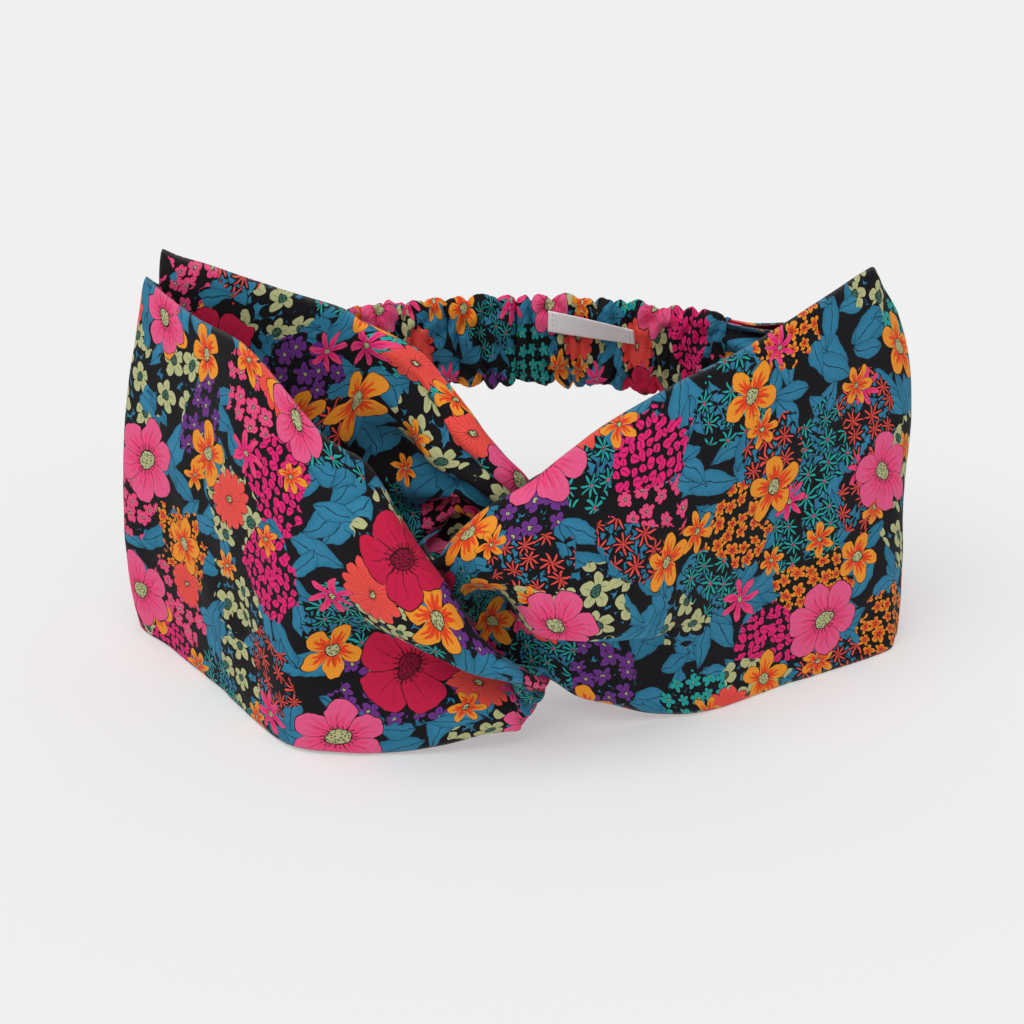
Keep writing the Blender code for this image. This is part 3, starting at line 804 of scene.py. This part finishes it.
def pressed_strip(name, grid, width, print_offset, material):
    """Two layers of cloth round the grid, closed at both ends, with the print laid along the strip."""
    columns, rows = grid.shape[0], grid.shape[1]
    normals = grid_normals(grid)
    across = np.linspace(-1.0, 1.0, rows)
    half = STRIP_THICKNESS / 2.0 * np.sqrt(np.maximum(1.0 - np.abs(across) ** EDGE_SQUARENESS, 0.0))
    front = grid + normals * half[None, :, None]
    back = (grid - normals * half[None, :, None])[:, 1:-1]
    points = np.concatenate([front.reshape(-1, 3), back.reshape(-1, 3)])

    front_index = np.arange(columns * rows).reshape(columns, rows)
    back_index = front_index.copy()
    back_index[:, 1:-1] = columns * rows + np.arange(columns * (rows - 2)).reshape(columns, rows - 2)

    run = np.cumsum(np.linalg.norm(np.diff(grid, axis=0, prepend=grid[:1]), axis=2), axis=0)
    run = 0.5 * run + 0.5 * run[:, rows // 2:rows // 2 + 1]
    cloth_width = np.maximum(width, LEAST_PRINT_WIDTH)[:, None]
    place = np.stack([run + print_offset[0], across[None, :] / 2.0 * cloth_width + print_offset[1]], axis=-1)
    back_shift = (BACK_PRINT_SHIFT[0], 2.0 * print_offset[1] + BACK_PRINT_SHIFT[1])
    layers = {0: place, 1: place * (1.0, -1.0) + back_shift}

    faces, layout = [], []
    for layer, index in ((0, front_index), (1, back_index)):
        for i in range(columns - 1):
            for j in range(rows - 1):
                corners = [(i, j), (i + 1, j), (i + 1, j + 1), (i, j + 1)]
                if layer:
                    corners.reverse()
                faces.append(tuple(int(index[c]) for c in corners))
                layout.append([layers[layer][c] for c in corners])
    for i, flip in ((0, False), (columns - 1, True)):
        for j in range(rows - 1):
            corners = [front_index[i, j], front_index[i, j + 1], back_index[i, j + 1], back_index[i, j]]
            spots = [place[i, j], place[i, j + 1], place[i, j + 1], place[i, j]]
            unique = list(dict.fromkeys(int(c) for c in corners))
            spots = [spots[[int(c) for c in corners].index(c)] for c in unique]
            if flip:
                unique.reverse()
                spots.reverse()
            if len(unique) > 2:
                faces.append(tuple(unique))
                layout.append(spots)

    mesh = closed_mesh(name, points, faces)
    uv = mesh.uv_layers.new(name="cloth")
    lookup = [dict(zip(face, spots)) for face, spots in zip(faces, layout)]
    pairs = [(spots, corner) for face, spots in zip(mesh.polygons, lookup) for corner in face.vertices]
    uv.data.foreach_set("uv", [value for spots, corner in pairs for value in spots[corner]])

    from_edge = (1.0 - np.abs(across))[None, :] * width[:, None] / 2.0
    worn = np.exp(-from_edge / WORN_EDGE)
    values = np.concatenate([worn.reshape(-1), worn[:, 1:-1].reshape(-1)])
    pressed_edge = mesh.attributes.new("pressed_edge", "FLOAT", "POINT")
    pressed_edge.data.foreach_set("value", values.astype(np.float32))
    mesh.materials.append(material)
    obj = bpy.data.objects.new(name, mesh)
    bpy.context.scene.collection.objects.link(obj)
    print(name, "faces:", len(faces))
    return obj


# Each crease: two places as (millimetres from the outer seam, millimetres from the upper edge), then how
# far the cloth is pushed, and how wide the dent is. A negative depth is a soft crest.
LEFT_CREASES = [
    ((66, 22), (72, 104), 1.5, 5.0),
    ((92, 30), (128, 96), -1.4, 8.0),
    ((104, 52), (150, 100), 1.3, 7.0),
]
RIGHT_CREASES = [
    ((62, 30), (60, 106), 1.6, 5.0),
    ((88, 24), (128, 62), -1.2, 9.0),
    ((82, 84), (120, 92), 1.2, 6.0),
]
PRINT_START = (0.02, 0.10)
left_shape = gather_and_ripple(left_grid, left_width, 3.0, LEFT_CREASES)
right_shape = gather_and_ripple(right_grid, right_width, 8.0, RIGHT_CREASES)
left_cloth = pressed_strip("left_strip_cloth", left_shape, left_width, PRINT_START, cotton_left)
right_cloth = pressed_strip("right_strip_cloth", right_shape, right_width, PRINT_START, cotton_right)

# A strip is taken to be cut as wide as its widest section, and as long as the run along its middle.
for cloth, node, grid, width in ((left_cloth, "left_strip", left_grid, left_width),
                                 (right_cloth, "right_strip", right_grid, right_width)):
    cut = (float(width.max()), float(centre_run(grid)[-1]))
    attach(cloth, FRONT)
    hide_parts(node)
    print(cloth.name, "was cut", [round(size / MM) for size in cut], "mm")

# %% [markdown]
# ## Geometry Nodes helpers
# The back of the band is ruched, and ruching is a rule: pleats at a nearly regular distance whose depth
# and place wander. Stitches are a rule too: one small thread, repeated along a path. Both are Geometry
# Nodes trees with named inputs, so a size can be changed in one place. When a tree has done its work the
# result is kept as a plain mesh.

# %% Build a tree, fill in its inputs, keep the result
def new_tree(name, inputs):
    """A Geometry Nodes tree with a geometry in and out, plus the named inputs."""
    tree = bpy.data.node_groups.new(name, "GeometryNodeTree")
    tree.is_modifier = True
    tree.interface.new_socket("Geometry", in_out="INPUT", socket_type="NodeSocketGeometry")
    for title, kind, default in inputs:
        socket = tree.interface.new_socket(title, in_out="INPUT", socket_type=kind)
        if default is not None:
            socket.default_value = default
    tree.interface.new_socket("Geometry", in_out="OUTPUT", socket_type="NodeSocketGeometry")
    return tree, tree.nodes.new("NodeGroupInput").outputs, tree.nodes.new("NodeGroupOutput").inputs


def finish_tree(tree, geometry, material, result):
    """Every tree ends the same way: real geometry, smooth shading and one material."""
    real = put(tree, "GeometryNodeRealizeInstances", {0: geometry})
    smooth = put(tree, "GeometryNodeSetShadeSmooth", {0: real.outputs[0]})
    dressed = put(tree, "GeometryNodeSetMaterial", {"Geometry": smooth.outputs[0], "Material": material})
    tree.links.new(dressed.outputs[0], result["Geometry"])


def apply_tree(obj, tree, **values):
    """Run a tree on an object with its inputs set by identifier. Underscores stand for spaces."""
    modifier = obj.modifiers.new(tree.name, "NODES")
    modifier.node_group = tree
    named = {key.replace("_", " "): value for key, value in values.items()}
    for socket in tree.interface.items_tree:
        if socket.in_out == "INPUT" and socket.name in named:
            modifier[socket.identifier] = named[socket.name]
    return modifier


def keep_as_mesh(obj, name):
    """The evaluated object as a plain mesh object. The object it came from is removed."""
    mesh = bpy.data.meshes.new_from_object(obj.evaluated_get(bpy.context.evaluated_depsgraph_get()))
    mesh.name = name
    bpy.data.objects.remove(obj, do_unlink=True)
    kept = bpy.data.objects.new(name, mesh)
    bpy.context.scene.collection.objects.link(kept)
    return kept


def show(name, mesh):
    obj = bpy.data.objects.new(name, mesh)
    bpy.context.scene.collection.objects.link(obj)
    return obj


print("tree helpers ready")

# %% [markdown]
# ## The line of the back
# Seen from above, the back is a shallow arc. The casing, the elastic, the label and the seam stitches
# all follow it, so its middle line and its outward direction are worked out once, from the frame.

# %% The arc that every back piece follows
CASING_LOW, CASING_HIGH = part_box("elastic_casing")
SEAM_X = CASING_HIGH[0]
BACK_Z = (CASING_LOW[2] + CASING_HIGH[2]) / 2.0
CASING_HALF_HEIGHT = (CASING_HIGH[2] - CASING_LOW[2]) / 2.0
CASING_HALF_DEPTH = 3.0 * MM
BACK_Y = CASING_HIGH[1] - CASING_HALF_DEPTH
BACK_SAG = 14.0 * MM


def back_line(x):
    """Points on the middle line of the back, and the outward direction there."""
    x = np.asarray(x, float)
    points = np.stack([x, BACK_Y - BACK_SAG * (x / SEAM_X) ** 2, np.full_like(x, BACK_Z)], axis=-1)
    along = unit(np.stack([np.ones_like(x), -2.0 * BACK_SAG * x / SEAM_X ** 2, np.zeros_like(x)], axis=-1))
    outward = np.stack([-along[..., 1], along[..., 0], np.zeros_like(x)], axis=-1)
    return points, outward


print("back arc: seam at x", round(SEAM_X, 4), "middle y", round(BACK_Y, 4), "z", round(BACK_Z, 4))

# %% [markdown]
# ## The ruched casing
# A plain tube is swept along the arc first. It carries three facts that the tree reads: how far along it
# each point is, how far it is from the seam, and its UV place, where 17 mm of cloth is packed into each
# 10 mm so that the print is squeezed as gathering squeezes it. The tree then pushes the tube out between
# sharp valleys. The casing is made in two halves that meet in a valley at the middle of the back.

# %% A tree that gathers a tube
def make_ruching_tree():
    tree, given, result = new_tree("ruched casing", [
        ("Pleat Spacing", NUMBER, 6.5 * MM), ("Pleat Depth", NUMBER, 2.1 * MM), ("Wander", NUMBER, 1.7),
        ("Seed", NUMBER, 0.0), ("Cloth", "NodeSocketMaterial", None),
    ])
    along = put(tree, "GeometryNodeInputNamedAttribute", {"Name": "along"}, data_type="FLOAT").outputs[0]
    seam = put(tree, "GeometryNodeInputNamedAttribute", {"Name": "from_seam"}, data_type="FLOAT").outputs[0]
    place = put(tree, "GeometryNodeInputPosition").outputs[0]
    shift = put(tree, "ShaderNodeCombineXYZ", {0: given["Seed"], 1: given["Seed"], 2: given["Seed"]})
    moved = put(tree, "ShaderNodeVectorMath", {0: place, 1: shift.outputs[0]}, operation="ADD").outputs[0]

    drift = put(tree, "ShaderNodeTexNoise", {"Vector": moved, "Scale": 62.0, "Detail": 2.0}).outputs[0]
    drift = calc(tree, "SUBTRACT", drift, 0.5)
    from_middle = calc(tree, "MULTIPLY", calc(tree, "ABSOLUTE", along), 1.0 / (6.0 * MM), clamp=True)
    drift = times(tree, drift, given["Wander"], from_middle, 8.0)
    phase = calc(tree, "MULTIPLY_ADD", calc(tree, "DIVIDE", along, given["Pleat Spacing"]), math.pi, drift)
    pleat = calc(tree, "POWER", calc(tree, "ABSOLUTE", calc(tree, "SINE", phase)), 0.55)

    swell = put(tree, "ShaderNodeTexNoise", {"Vector": moved, "Scale": 120.0, "Detail": 2.0}).outputs[0]
    swell = calc(tree, "MULTIPLY_ADD", swell, 3.2, -0.55)
    crumple = put(tree, "ShaderNodeTexNoise", {"Vector": moved, "Scale": 260.0, "Detail": 3.0}).outputs[0]
    crumple = times(tree, calc(tree, "SUBTRACT", crumple, 0.5), 1.5)
    held = calc(tree, "DIVIDE", seam, 4.0 * MM, clamp=True)
    height = calc(tree, "MULTIPLY_ADD", calc(tree, "SUBTRACT", pleat, 0.42), swell, crumple)
    height = times(tree, height, given["Pleat Depth"], calc(tree, "MULTIPLY_ADD", held, 0.85, 0.15))

    normal = put(tree, "GeometryNodeInputNormal").outputs[0]
    push = put(tree, "ShaderNodeVectorMath", {0: normal, "Scale": height}, operation="SCALE").outputs[0]
    gathered = put(tree, "GeometryNodeSetPosition", {"Geometry": given["Geometry"], "Offset": push})
    finish_tree(tree, gathered.outputs[0], given["Cloth"], result)
    return tree


ruching = make_ruching_tree()
print("ruching inputs:", [item.name for item in ruching.interface.items_tree if item.in_out == "INPUT"])

# %% A tube along half of the back
CASING_COLUMNS = 190
CASING_ROWS = 64
CASING_WALL = 0.5 * MM
SEAM_OVERLAP = 1.8 * MM
GATHERING = 1.7
CORNER_ROUNDNESS = 2.6
PRINT_CORNER = (0.3, 0.4)


def rounded(turn, half):
    """One coordinate of a rounded box outline, from a sine or cosine of the way round."""
    return half * np.sign(turn) * np.abs(turn) ** (2.0 / CORNER_ROUNDNESS)


def casing_tube(name, side):
    """Half of the casing as an open tube of quads, with the facts that the ruching tree reads."""
    end = SEAM_X + SEAM_OVERLAP
    x = side * np.linspace(0.0, end, CASING_COLUMNS + 1)
    centre, outward = back_line(x)
    angle = np.linspace(0.0, 2.0 * math.pi, CASING_ROWS, endpoint=False)
    depth = rounded(np.cos(angle), CASING_HALF_DEPTH)[None, :, None]
    height = rounded(np.sin(angle), CASING_HALF_HEIGHT)[None, :, None]
    points = centre[:, None] + outward[:, None] * depth + np.array([0, 0, 1.0]) * height

    ring = np.concatenate([points[0], points[0][:1]])
    girth = np.concatenate([[0.0], np.cumsum(np.linalg.norm(np.diff(ring, axis=0), axis=1))])
    run = np.concatenate([[0.0], np.cumsum(np.linalg.norm(np.diff(centre, axis=0), axis=1))])
    index = np.arange(points.shape[0] * CASING_ROWS).reshape(-1, CASING_ROWS)
    faces, layout = [], []
    for i in range(CASING_COLUMNS):
        for j in range(CASING_ROWS):
            corners = [(i, j), (i + 1, j), (i + 1, j + 1), (i, j + 1)]
            if side < 0:
                corners.reverse()
            faces.append(tuple(int(index[a, b % CASING_ROWS]) for a, b in corners))
            for a, b in corners:
                layout += [side * run[a] * GATHERING + PRINT_CORNER[0], girth[b] + PRINT_CORNER[1]]
    mesh = bpy.data.meshes.new(name)
    mesh.from_pydata(points.reshape(-1, 3).tolist(), [], faces)
    mesh.uv_layers.new(name="cloth").data.foreach_set("uv", layout)
    from_seam = np.repeat(end - np.abs(x), CASING_ROWS)
    for title, values in (("along", np.repeat(side * run, CASING_ROWS)), ("from_seam", from_seam)):
        mesh.attributes.new(title, "FLOAT", "POINT").data.foreach_set("value", values.astype(np.float32))
    mesh.update()
    if mesh.polygons[CASING_ROWS // 4].normal.z < 0:
        mesh.flip_normals()
    return show(name, mesh), (float(girth[-1]), float(run[-1]) * GATHERING)


casing_halves = []
casing_cuts = []
for side, name in ((-1.0, "casing_left"), (1.0, "casing_right")):
    tube, cut = casing_tube(name + "_tube", side)
    casing_cuts.append(cut)
    apply_tree(tube, ruching, Seed=2.0 + side, Cloth=cotton_casing)
    wall = tube.modifiers.new("wall", "SOLIDIFY")
    wall.thickness = CASING_WALL
    wall.offset = -1.0
    half = keep_as_mesh(tube, name)
    half.data.attributes.remove(half.data.attributes["along"])
    half.data.attributes.remove(half.data.attributes["from_seam"])
    casing_halves.append(half)
    print(name, "faces:", len(half.data.polygons), "cut from", [round(size * 1000) for size in cut], "mm")

# %% [markdown]
# ## The elastic inside
# Braided elastic is flat, ribbed along its length and barely seen, but it is what closes the band. It
# runs on past the casing for a few millimetres between the ends of each strip, where the seam holds it.

# %% Braided elastic in two halves
ELASTIC_LOW, ELASTIC_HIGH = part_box("elastic_band")
ELASTIC_WIDTH = ELASTIC_HIGH[2] - ELASTIC_LOW[2]
ELASTIC_THICKNESS = 1.2 * MM
ELASTIC_RIBS = 10


def make_elastic_material():
    material, tree, shader = new_material("braided_elastic")
    cloth = cloth_millimetres(tree)
    weave = use_group(tree, plain_weave, Cloth=cloth, Threads_per_mm=1.6)
    tint = mix_colours(tree, weave["Slub"], (0.78, 0.77, 0.73, 1.0), (0.62, 0.61, 0.58, 1.0))
    raised = calc(tree, "MULTIPLY", weave["Height"], 0.5)
    colour = mix_colours(tree, raised, tint, (0.86, 0.85, 0.82, 1.0))
    tree.links.new(colour, shader.inputs["Base Color"])
    tree.links.new(calc(tree, "MULTIPLY_ADD", weave["Slub"], 0.2, 0.6), shader.inputs["Roughness"])
    bump = put(tree, "ShaderNodeBump", {"Strength": 0.6, "Distance": 0.0002, "Height": weave["Height"]})
    tree.links.new(bump.outputs[0], shader.inputs["Normal"])
    return material


elastic_cotton = make_elastic_material()


BAND_ROWS = 41
BAND_SQUARENESS = 10
RIB_DEPTH = 0.22


def flat_band(name, points, outward, width, thickness, ribs, material):
    """A closed flat band along the points: ribbed on both faces when ribs is above nought."""
    rows = BAND_ROWS
    across = np.linspace(-0.5, 0.5, rows)
    edge = np.sqrt(np.maximum(1.0 - np.abs(2.0 * across) ** BAND_SQUARENESS, 0.0))
    rib = 1.0 + (RIB_DEPTH * np.cos(2.0 * math.pi * ribs * across) if ribs else 0.0)
    half = thickness[:, None] / 2.0 * (edge * rib)[None, :]
    up = np.array([0.0, 0.0, 1.0])
    sheet = points[:, None] + up * (width[:, None] * across[None, :])[..., None]
    near = sheet + outward[:, None] * half[..., None]
    far = (sheet - outward[:, None] * half[..., None])[:, 1:-1]
    columns = len(points)
    near_index = np.arange(columns * rows).reshape(columns, rows)
    far_index = near_index.copy()
    far_index[:, 1:-1] = columns * rows + np.arange(columns * (rows - 2)).reshape(columns, rows - 2)
    run = np.concatenate([[0.0], np.cumsum(np.linalg.norm(np.diff(points, axis=0), axis=1))])
    faces, layout = [], []
    for layer, index in ((0, near_index), (1, far_index)):
        for i in range(columns - 1):
            for j in range(rows - 1):
                corners = [(i, j), (i + 1, j), (i + 1, j + 1), (i, j + 1)]
                if layer:
                    corners.reverse()
                faces.append(tuple(int(index[c]) for c in corners))
                layout.append({int(index[c]): (run[c[0]], across[c[1]] * float(width[0])) for c in corners})
    for i, flip in ((0, False), (columns - 1, True)):
        rim = [int(v) for v in near_index[i]] + [int(v) for v in far_index[i, -2:0:-1]]
        if flip:
            rim.reverse()
        faces.append(tuple(rim))
        layout.append({v: (float(run[i]), 0.0) for v in rim})
    mesh = closed_mesh(name, np.concatenate([near.reshape(-1, 3), far.reshape(-1, 3)]), faces)
    flat = [value for face, spots in zip(mesh.polygons, layout) for v in face.vertices for value in spots[v]]
    mesh.uv_layers.new(name="cloth").data.foreach_set("uv", flat)
    mesh.materials.append(material)
    return show(name, mesh)


elastic_halves = []
for side, name in ((-1.0, "elastic_left"), (1.0, "elastic_right")):
    x = side * np.linspace(0.0, ELASTIC_HIGH[0] - 0.4 * MM, 70)
    points, outward = back_line(x)
    beyond = np.abs(x) > SEAM_X
    seam_points, seam_outward = back_line(np.full(beyond.sum(), side * SEAM_X))
    seam_along = np.stack([seam_outward[:, 1], -seam_outward[:, 0], np.zeros(beyond.sum())], axis=1)
    overrun = (np.abs(x[beyond]) - SEAM_X) / seam_along[:, 0] * side
    points[beyond] = seam_points + seam_along * overrun[:, None]
    outward[beyond] = seam_outward
    size = np.full(len(x), ELASTIC_WIDTH), np.full(len(x), ELASTIC_THICKNESS)
    elastic_halves.append(flat_band(name, points, outward, *size, ELASTIC_RIBS, elastic_cotton))
print("elastic halves:", [len(half.data.polygons) for half in elastic_halves])

# %% [markdown]
# ## The woven label
# A small blank tab of white satin weave, stitched down at its folded ends. Only its ends are held, so it
# stands off the ruched cloth between them. It was sewn on by hand and runs a little downhill.

# %% Label: a thin band with folded ends, tilted and leaning
LABEL_LOW, LABEL_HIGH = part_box("woven_label")
LABEL_FALL = 2.7 * MM
LABEL_LEAN_LEFT = math.radians(-12.0)
LABEL_LEAN_RIGHT = math.radians(27.0)
LABEL_DROP = 0.8 * MM
LABEL_STAND_OFF = 1.5 * MM
LABEL_STAND_OFF_GAIN = 0.7
LABEL_BOW = 0.5 * MM
LABEL_INSET = 0.4 * MM
LABEL_EXTRA = 1.6 * MM
LABEL_FOLD = 2.2 * MM
LABEL_THICKNESS = 0.42 * MM
LABEL_FOLD_THICKNESS = 0.75 * MM


def make_label_material():
    material, tree, shader = new_material("label_satin")
    cloth = cloth_millimetres(tree)
    weave = use_group(tree, plain_weave, Cloth=cloth, Threads_per_mm=5.0)
    shade = calc(tree, "MULTIPLY", weave["Slub"], 0.5)
    colour = mix_colours(tree, shade, (0.90, 0.90, 0.90, 1.0), (0.80, 0.80, 0.81, 1.0))
    tree.links.new(colour, shader.inputs["Base Color"])
    tree.links.new(calc(tree, "MULTIPLY_ADD", weave["Slub"], 0.15, 0.42), shader.inputs["Roughness"])
    bump = put(tree, "ShaderNodeBump", {"Strength": 0.3, "Distance": 0.00006, "Height": weave["Height"]})
    tree.links.new(bump.outputs[0], shader.inputs["Normal"])
    return material


label_satin = make_label_material()


def label_line(share):
    """Middle points, facing directions and height directions of the label, from its left end."""
    x = LABEL_LOW[0] + LABEL_INSET + share * (LABEL_HIGH[0] - LABEL_LOW[0] + LABEL_EXTRA)
    middle, outward = back_line(x)
    bow = np.sin(math.pi * share) * LABEL_BOW
    stand_off = LABEL_STAND_OFF * (1.0 + LABEL_STAND_OFF_GAIN * share)
    middle = middle - outward * (CASING_HALF_DEPTH + stand_off + bow)[:, None]
    middle[:, 2] = (LABEL_LOW[2] + LABEL_HIGH[2]) / 2.0 - LABEL_DROP - LABEL_FALL * (share - 0.5)
    lean = LABEL_LEAN_LEFT + (LABEL_LEAN_RIGHT - LABEL_LEAN_LEFT) * share
    up = np.array([0.0, 0.0, 1.0])
    height = up * np.cos(lean)[:, None] - outward * np.sin(lean)[:, None]
    face = -outward * np.cos(lean)[:, None] - up * np.sin(lean)[:, None]
    return middle, face, height


def make_label():
    share = np.linspace(0.0, 1.0, 91)
    middle, face, height = label_line(share)
    length = LABEL_HIGH[0] - LABEL_LOW[0]
    from_end = np.minimum(share, 1.0 - share) * length
    thickness = np.where(from_end < LABEL_FOLD, LABEL_FOLD_THICKNESS, LABEL_THICKNESS)
    width = np.full(len(share), LABEL_HIGH[2] - LABEL_LOW[2])
    flat = flat_band("label_tab", middle, face, width, thickness, 0, label_satin)
    coordinates = np.array([v.co for v in flat.data.vertices])
    column = np.abs(coordinates[:, 0][:, None] - middle[:, 0][None, :]).argmin(axis=1)
    above_middle = coordinates[:, 2] - middle[column][:, 2]
    across = np.clip(above_middle / (width[0] / 2.0), -1.0, 1.0) * width[0] / 2.0
    shifted = coordinates + (height[column] - np.array([0.0, 0.0, 1.0])) * across[:, None]
    flat.data.vertices.foreach_set("co", shifted.reshape(-1))
    flat.data.update()
    print("label faces:", len(flat.data.polygons))
    return flat


label_tab = make_label()

# %% [markdown]
# ## Stitches
# One stitch is a short plump thread. The tree resamples a path into even steps, puts a stitch on each
# and turns it along the path. The same tree sews both seams and both ends of the label.

# %% A tree that sews along a path
def make_stitch_tree():
    tree, given, result = new_tree("row of stitches", [
        ("Stitch Pitch", NUMBER, 2.4 * MM), ("Stitch Length", NUMBER, 1.7 * MM),
        ("Thread Width", NUMBER, 0.4 * MM), ("Thread", "NodeSocketMaterial", None),
    ])
    spacing = {"Curve": given["Geometry"], "Length": given["Stitch Pitch"]}
    steps = put(tree, "GeometryNodeResampleCurve", spacing, mode="LENGTH")
    ball = put(tree, "GeometryNodeMeshUVSphere", {"Segments": 8, "Rings": 8, "Radius": 0.5})
    heading = put(tree, "FunctionNodeAlignRotationToVector", {
        "Vector": put(tree, "GeometryNodeInputTangent").outputs[0],
    }, axis="X")
    size = put(tree, "ShaderNodeCombineXYZ", {
        0: given["Stitch Length"], 1: given["Thread Width"], 2: given["Thread Width"],
    })
    sewn = put(tree, "GeometryNodeInstanceOnPoints", {
        "Points": steps.outputs[0], "Instance": ball.outputs[0],
        "Rotation": heading.outputs[0], "Scale": size.outputs[0],
    })
    finish_tree(tree, sewn.outputs[0], given["Thread"], result)
    return tree


def make_thread_material(name, dark, light):
    material, tree, shader = new_material(name)
    place = put(tree, "ShaderNodeTexCoord").outputs["Object"]
    twist = put(tree, "ShaderNodeTexNoise", {"Vector": place, "Scale": 4000.0, "Detail": 2.0}).outputs[0]
    tree.links.new(mix_colours(tree, twist, dark, light), shader.inputs["Base Color"])
    tree.links.new(calc(tree, "MULTIPLY_ADD", twist, 0.2, 0.5), shader.inputs["Roughness"])
    return material


stitching = make_stitch_tree()
dark_thread = make_thread_material("sewing_thread_dark", (0.012, 0.012, 0.016, 1.0), (0.05, 0.05, 0.06, 1.0))
pale_thread = make_thread_material("sewing_thread_pale", (0.60, 0.60, 0.60, 1.0), (0.80, 0.80, 0.80, 1.0))


def sew(name, points, closed, pitch, length, width, thread):
    data = bpy.data.curves.new(name + "_path", "CURVE")
    data.dimensions = "3D"
    spline = data.splines.new("POLY")
    spline.points.add(len(points) - 1)
    for knot, point in zip(spline.points, points):
        knot.co = (*point, 1.0)
    spline.use_cyclic_u = closed
    path = show(name + "_path", data)
    apply_tree(path, stitching, Stitch_Pitch=pitch, Stitch_Length=length, Thread_Width=width, Thread=thread)
    return keep_as_mesh(path, name)


# %% Sew the two seams and the label's ends
STITCH_SINK = 0.05 * MM
seam_stitches = []
for side, name in ((-1.0, "seam_stitches_left"), (1.0, "seam_stitches_right")):
    centre, outward = back_line(np.array([side * (SEAM_X + 0.9 * MM)]))
    angle = np.linspace(0.0, 2.0 * math.pi, 48, endpoint=False)[:, None]
    depth = rounded(np.cos(angle), CASING_HALF_DEPTH - STITCH_SINK)
    height = rounded(np.sin(angle), CASING_HALF_HEIGHT - STITCH_SINK)
    loop = centre + outward * depth + np.array([[0.0, 0.0, 1.0]]) * height
    seam_stitches.append(sew(name, loop, True, 2.2 * MM, 1.5 * MM, 0.42 * MM, dark_thread))
label_stitches = []
for share, name in ((0.05, "label_stitches_left"), (0.95, "label_stitches_right")):
    middle, face, height = label_line(np.array([share]))
    reach = np.linspace(-0.5, 0.5, 5)[:, None] * (LABEL_HIGH[2] - LABEL_LOW[2] - 1.4 * MM)
    row = middle + face * 0.40 * MM + height * reach
    label_stitches.append(sew(name, row, False, 1.3 * MM, 0.95 * MM, 0.3 * MM, pale_thread))
print("stitch faces:", [len(row.data.polygons) for row in seam_stitches + label_stitches])

# %% [markdown]
# ## Riding on the front
# The knot and the seam stitches move with the front. The casing, the elastic, the label and its stitches
# are fixed where they were made, and the frame's parts that they stand for are hidden.

# %% Fix the back pieces in place, hide the parts they stand for, and let the seam stitches follow the front
for side, half, cut, band in zip((-1.0, 1.0), casing_halves, casing_cuts, elastic_halves):
    for piece, node, slot in ((half, "elastic_casing", "printed_cotton"),
                              (band, "elastic_band", "braided_elastic")):
        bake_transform(piece)
        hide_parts(node)
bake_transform(label_tab)
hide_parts("woven_label")
for row, node in zip(label_stitches, ("label_thread_left", "label_thread_right")):
    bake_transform(row)
    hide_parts(node)
for row, node in zip(seam_stitches, ("join_thread_left", "join_thread_right")):
    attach(row, FRONT)
    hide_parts(node)

# %% [markdown]
# ## Floor and light
# Most of the light falls from one broad source overhead, so folds darken underneath, and a dim white sky
# keeps the shadows open. The floor is a light table: it glows a little, which pales the shadows on it.

# %% Floor and light
FLOOR_REACH = 3.0
FLOOR_SHADE = 0.58
FLOOR_GLOW = 0.33
SKY_STRENGTH = 0.52
floor_mesh = bpy.data.meshes.new("floor")
corners = [(-FLOOR_REACH, -FLOOR_REACH, 0), (FLOOR_REACH, -FLOOR_REACH, 0),
           (FLOOR_REACH, FLOOR_REACH, 0), (-FLOOR_REACH, FLOOR_REACH, 0)]
floor_mesh.from_pydata(corners, [], [(0, 1, 2, 3)])
floor = bpy.data.objects.new("floor", floor_mesh)
bpy.context.scene.collection.objects.link(floor)
floor_material, _, floor_shader = new_material("pale_paper")
floor_shader.inputs["Base Color"].default_value = (FLOOR_SHADE, FLOOR_SHADE, FLOOR_SHADE, 1.0)
floor_shader.inputs["Emission Color"].default_value = (1.0, 1.0, 1.0, 1.0)
floor_shader.inputs["Emission Strength"].default_value = FLOOR_GLOW
floor_shader.inputs["Roughness"].default_value = 0.95
floor_shader.inputs["Specular IOR Level"].default_value = 0.1
floor_mesh.materials.append(floor_material)

world = bpy.data.worlds.new("studio")
world.use_nodes = True
world.node_tree.nodes["Background"].inputs["Color"].default_value = (1.0, 1.0, 1.0, 1.0)
world.node_tree.nodes["Background"].inputs["Strength"].default_value = SKY_STRENGTH
bpy.context.scene.world = world


def soft_light(name, place, spread, strength):
    """Light from one direction, as even as a very large panel, with soft shadows."""
    data = bpy.data.lights.new(name, "SUN")
    data.angle = math.radians(spread)
    data.energy = strength
    light = bpy.data.objects.new(name, data)
    light.location = place
    aim(light, Vector((0.0, 0.0, 0.05)))
    bpy.context.scene.collection.objects.link(light)
    return light


soft_light("overhead_light", Vector((-0.35, -0.45, 1.5)), 55.0, 1.42)
bpy.context.scene.view_settings.view_transform = "Standard"
print("studio ready")
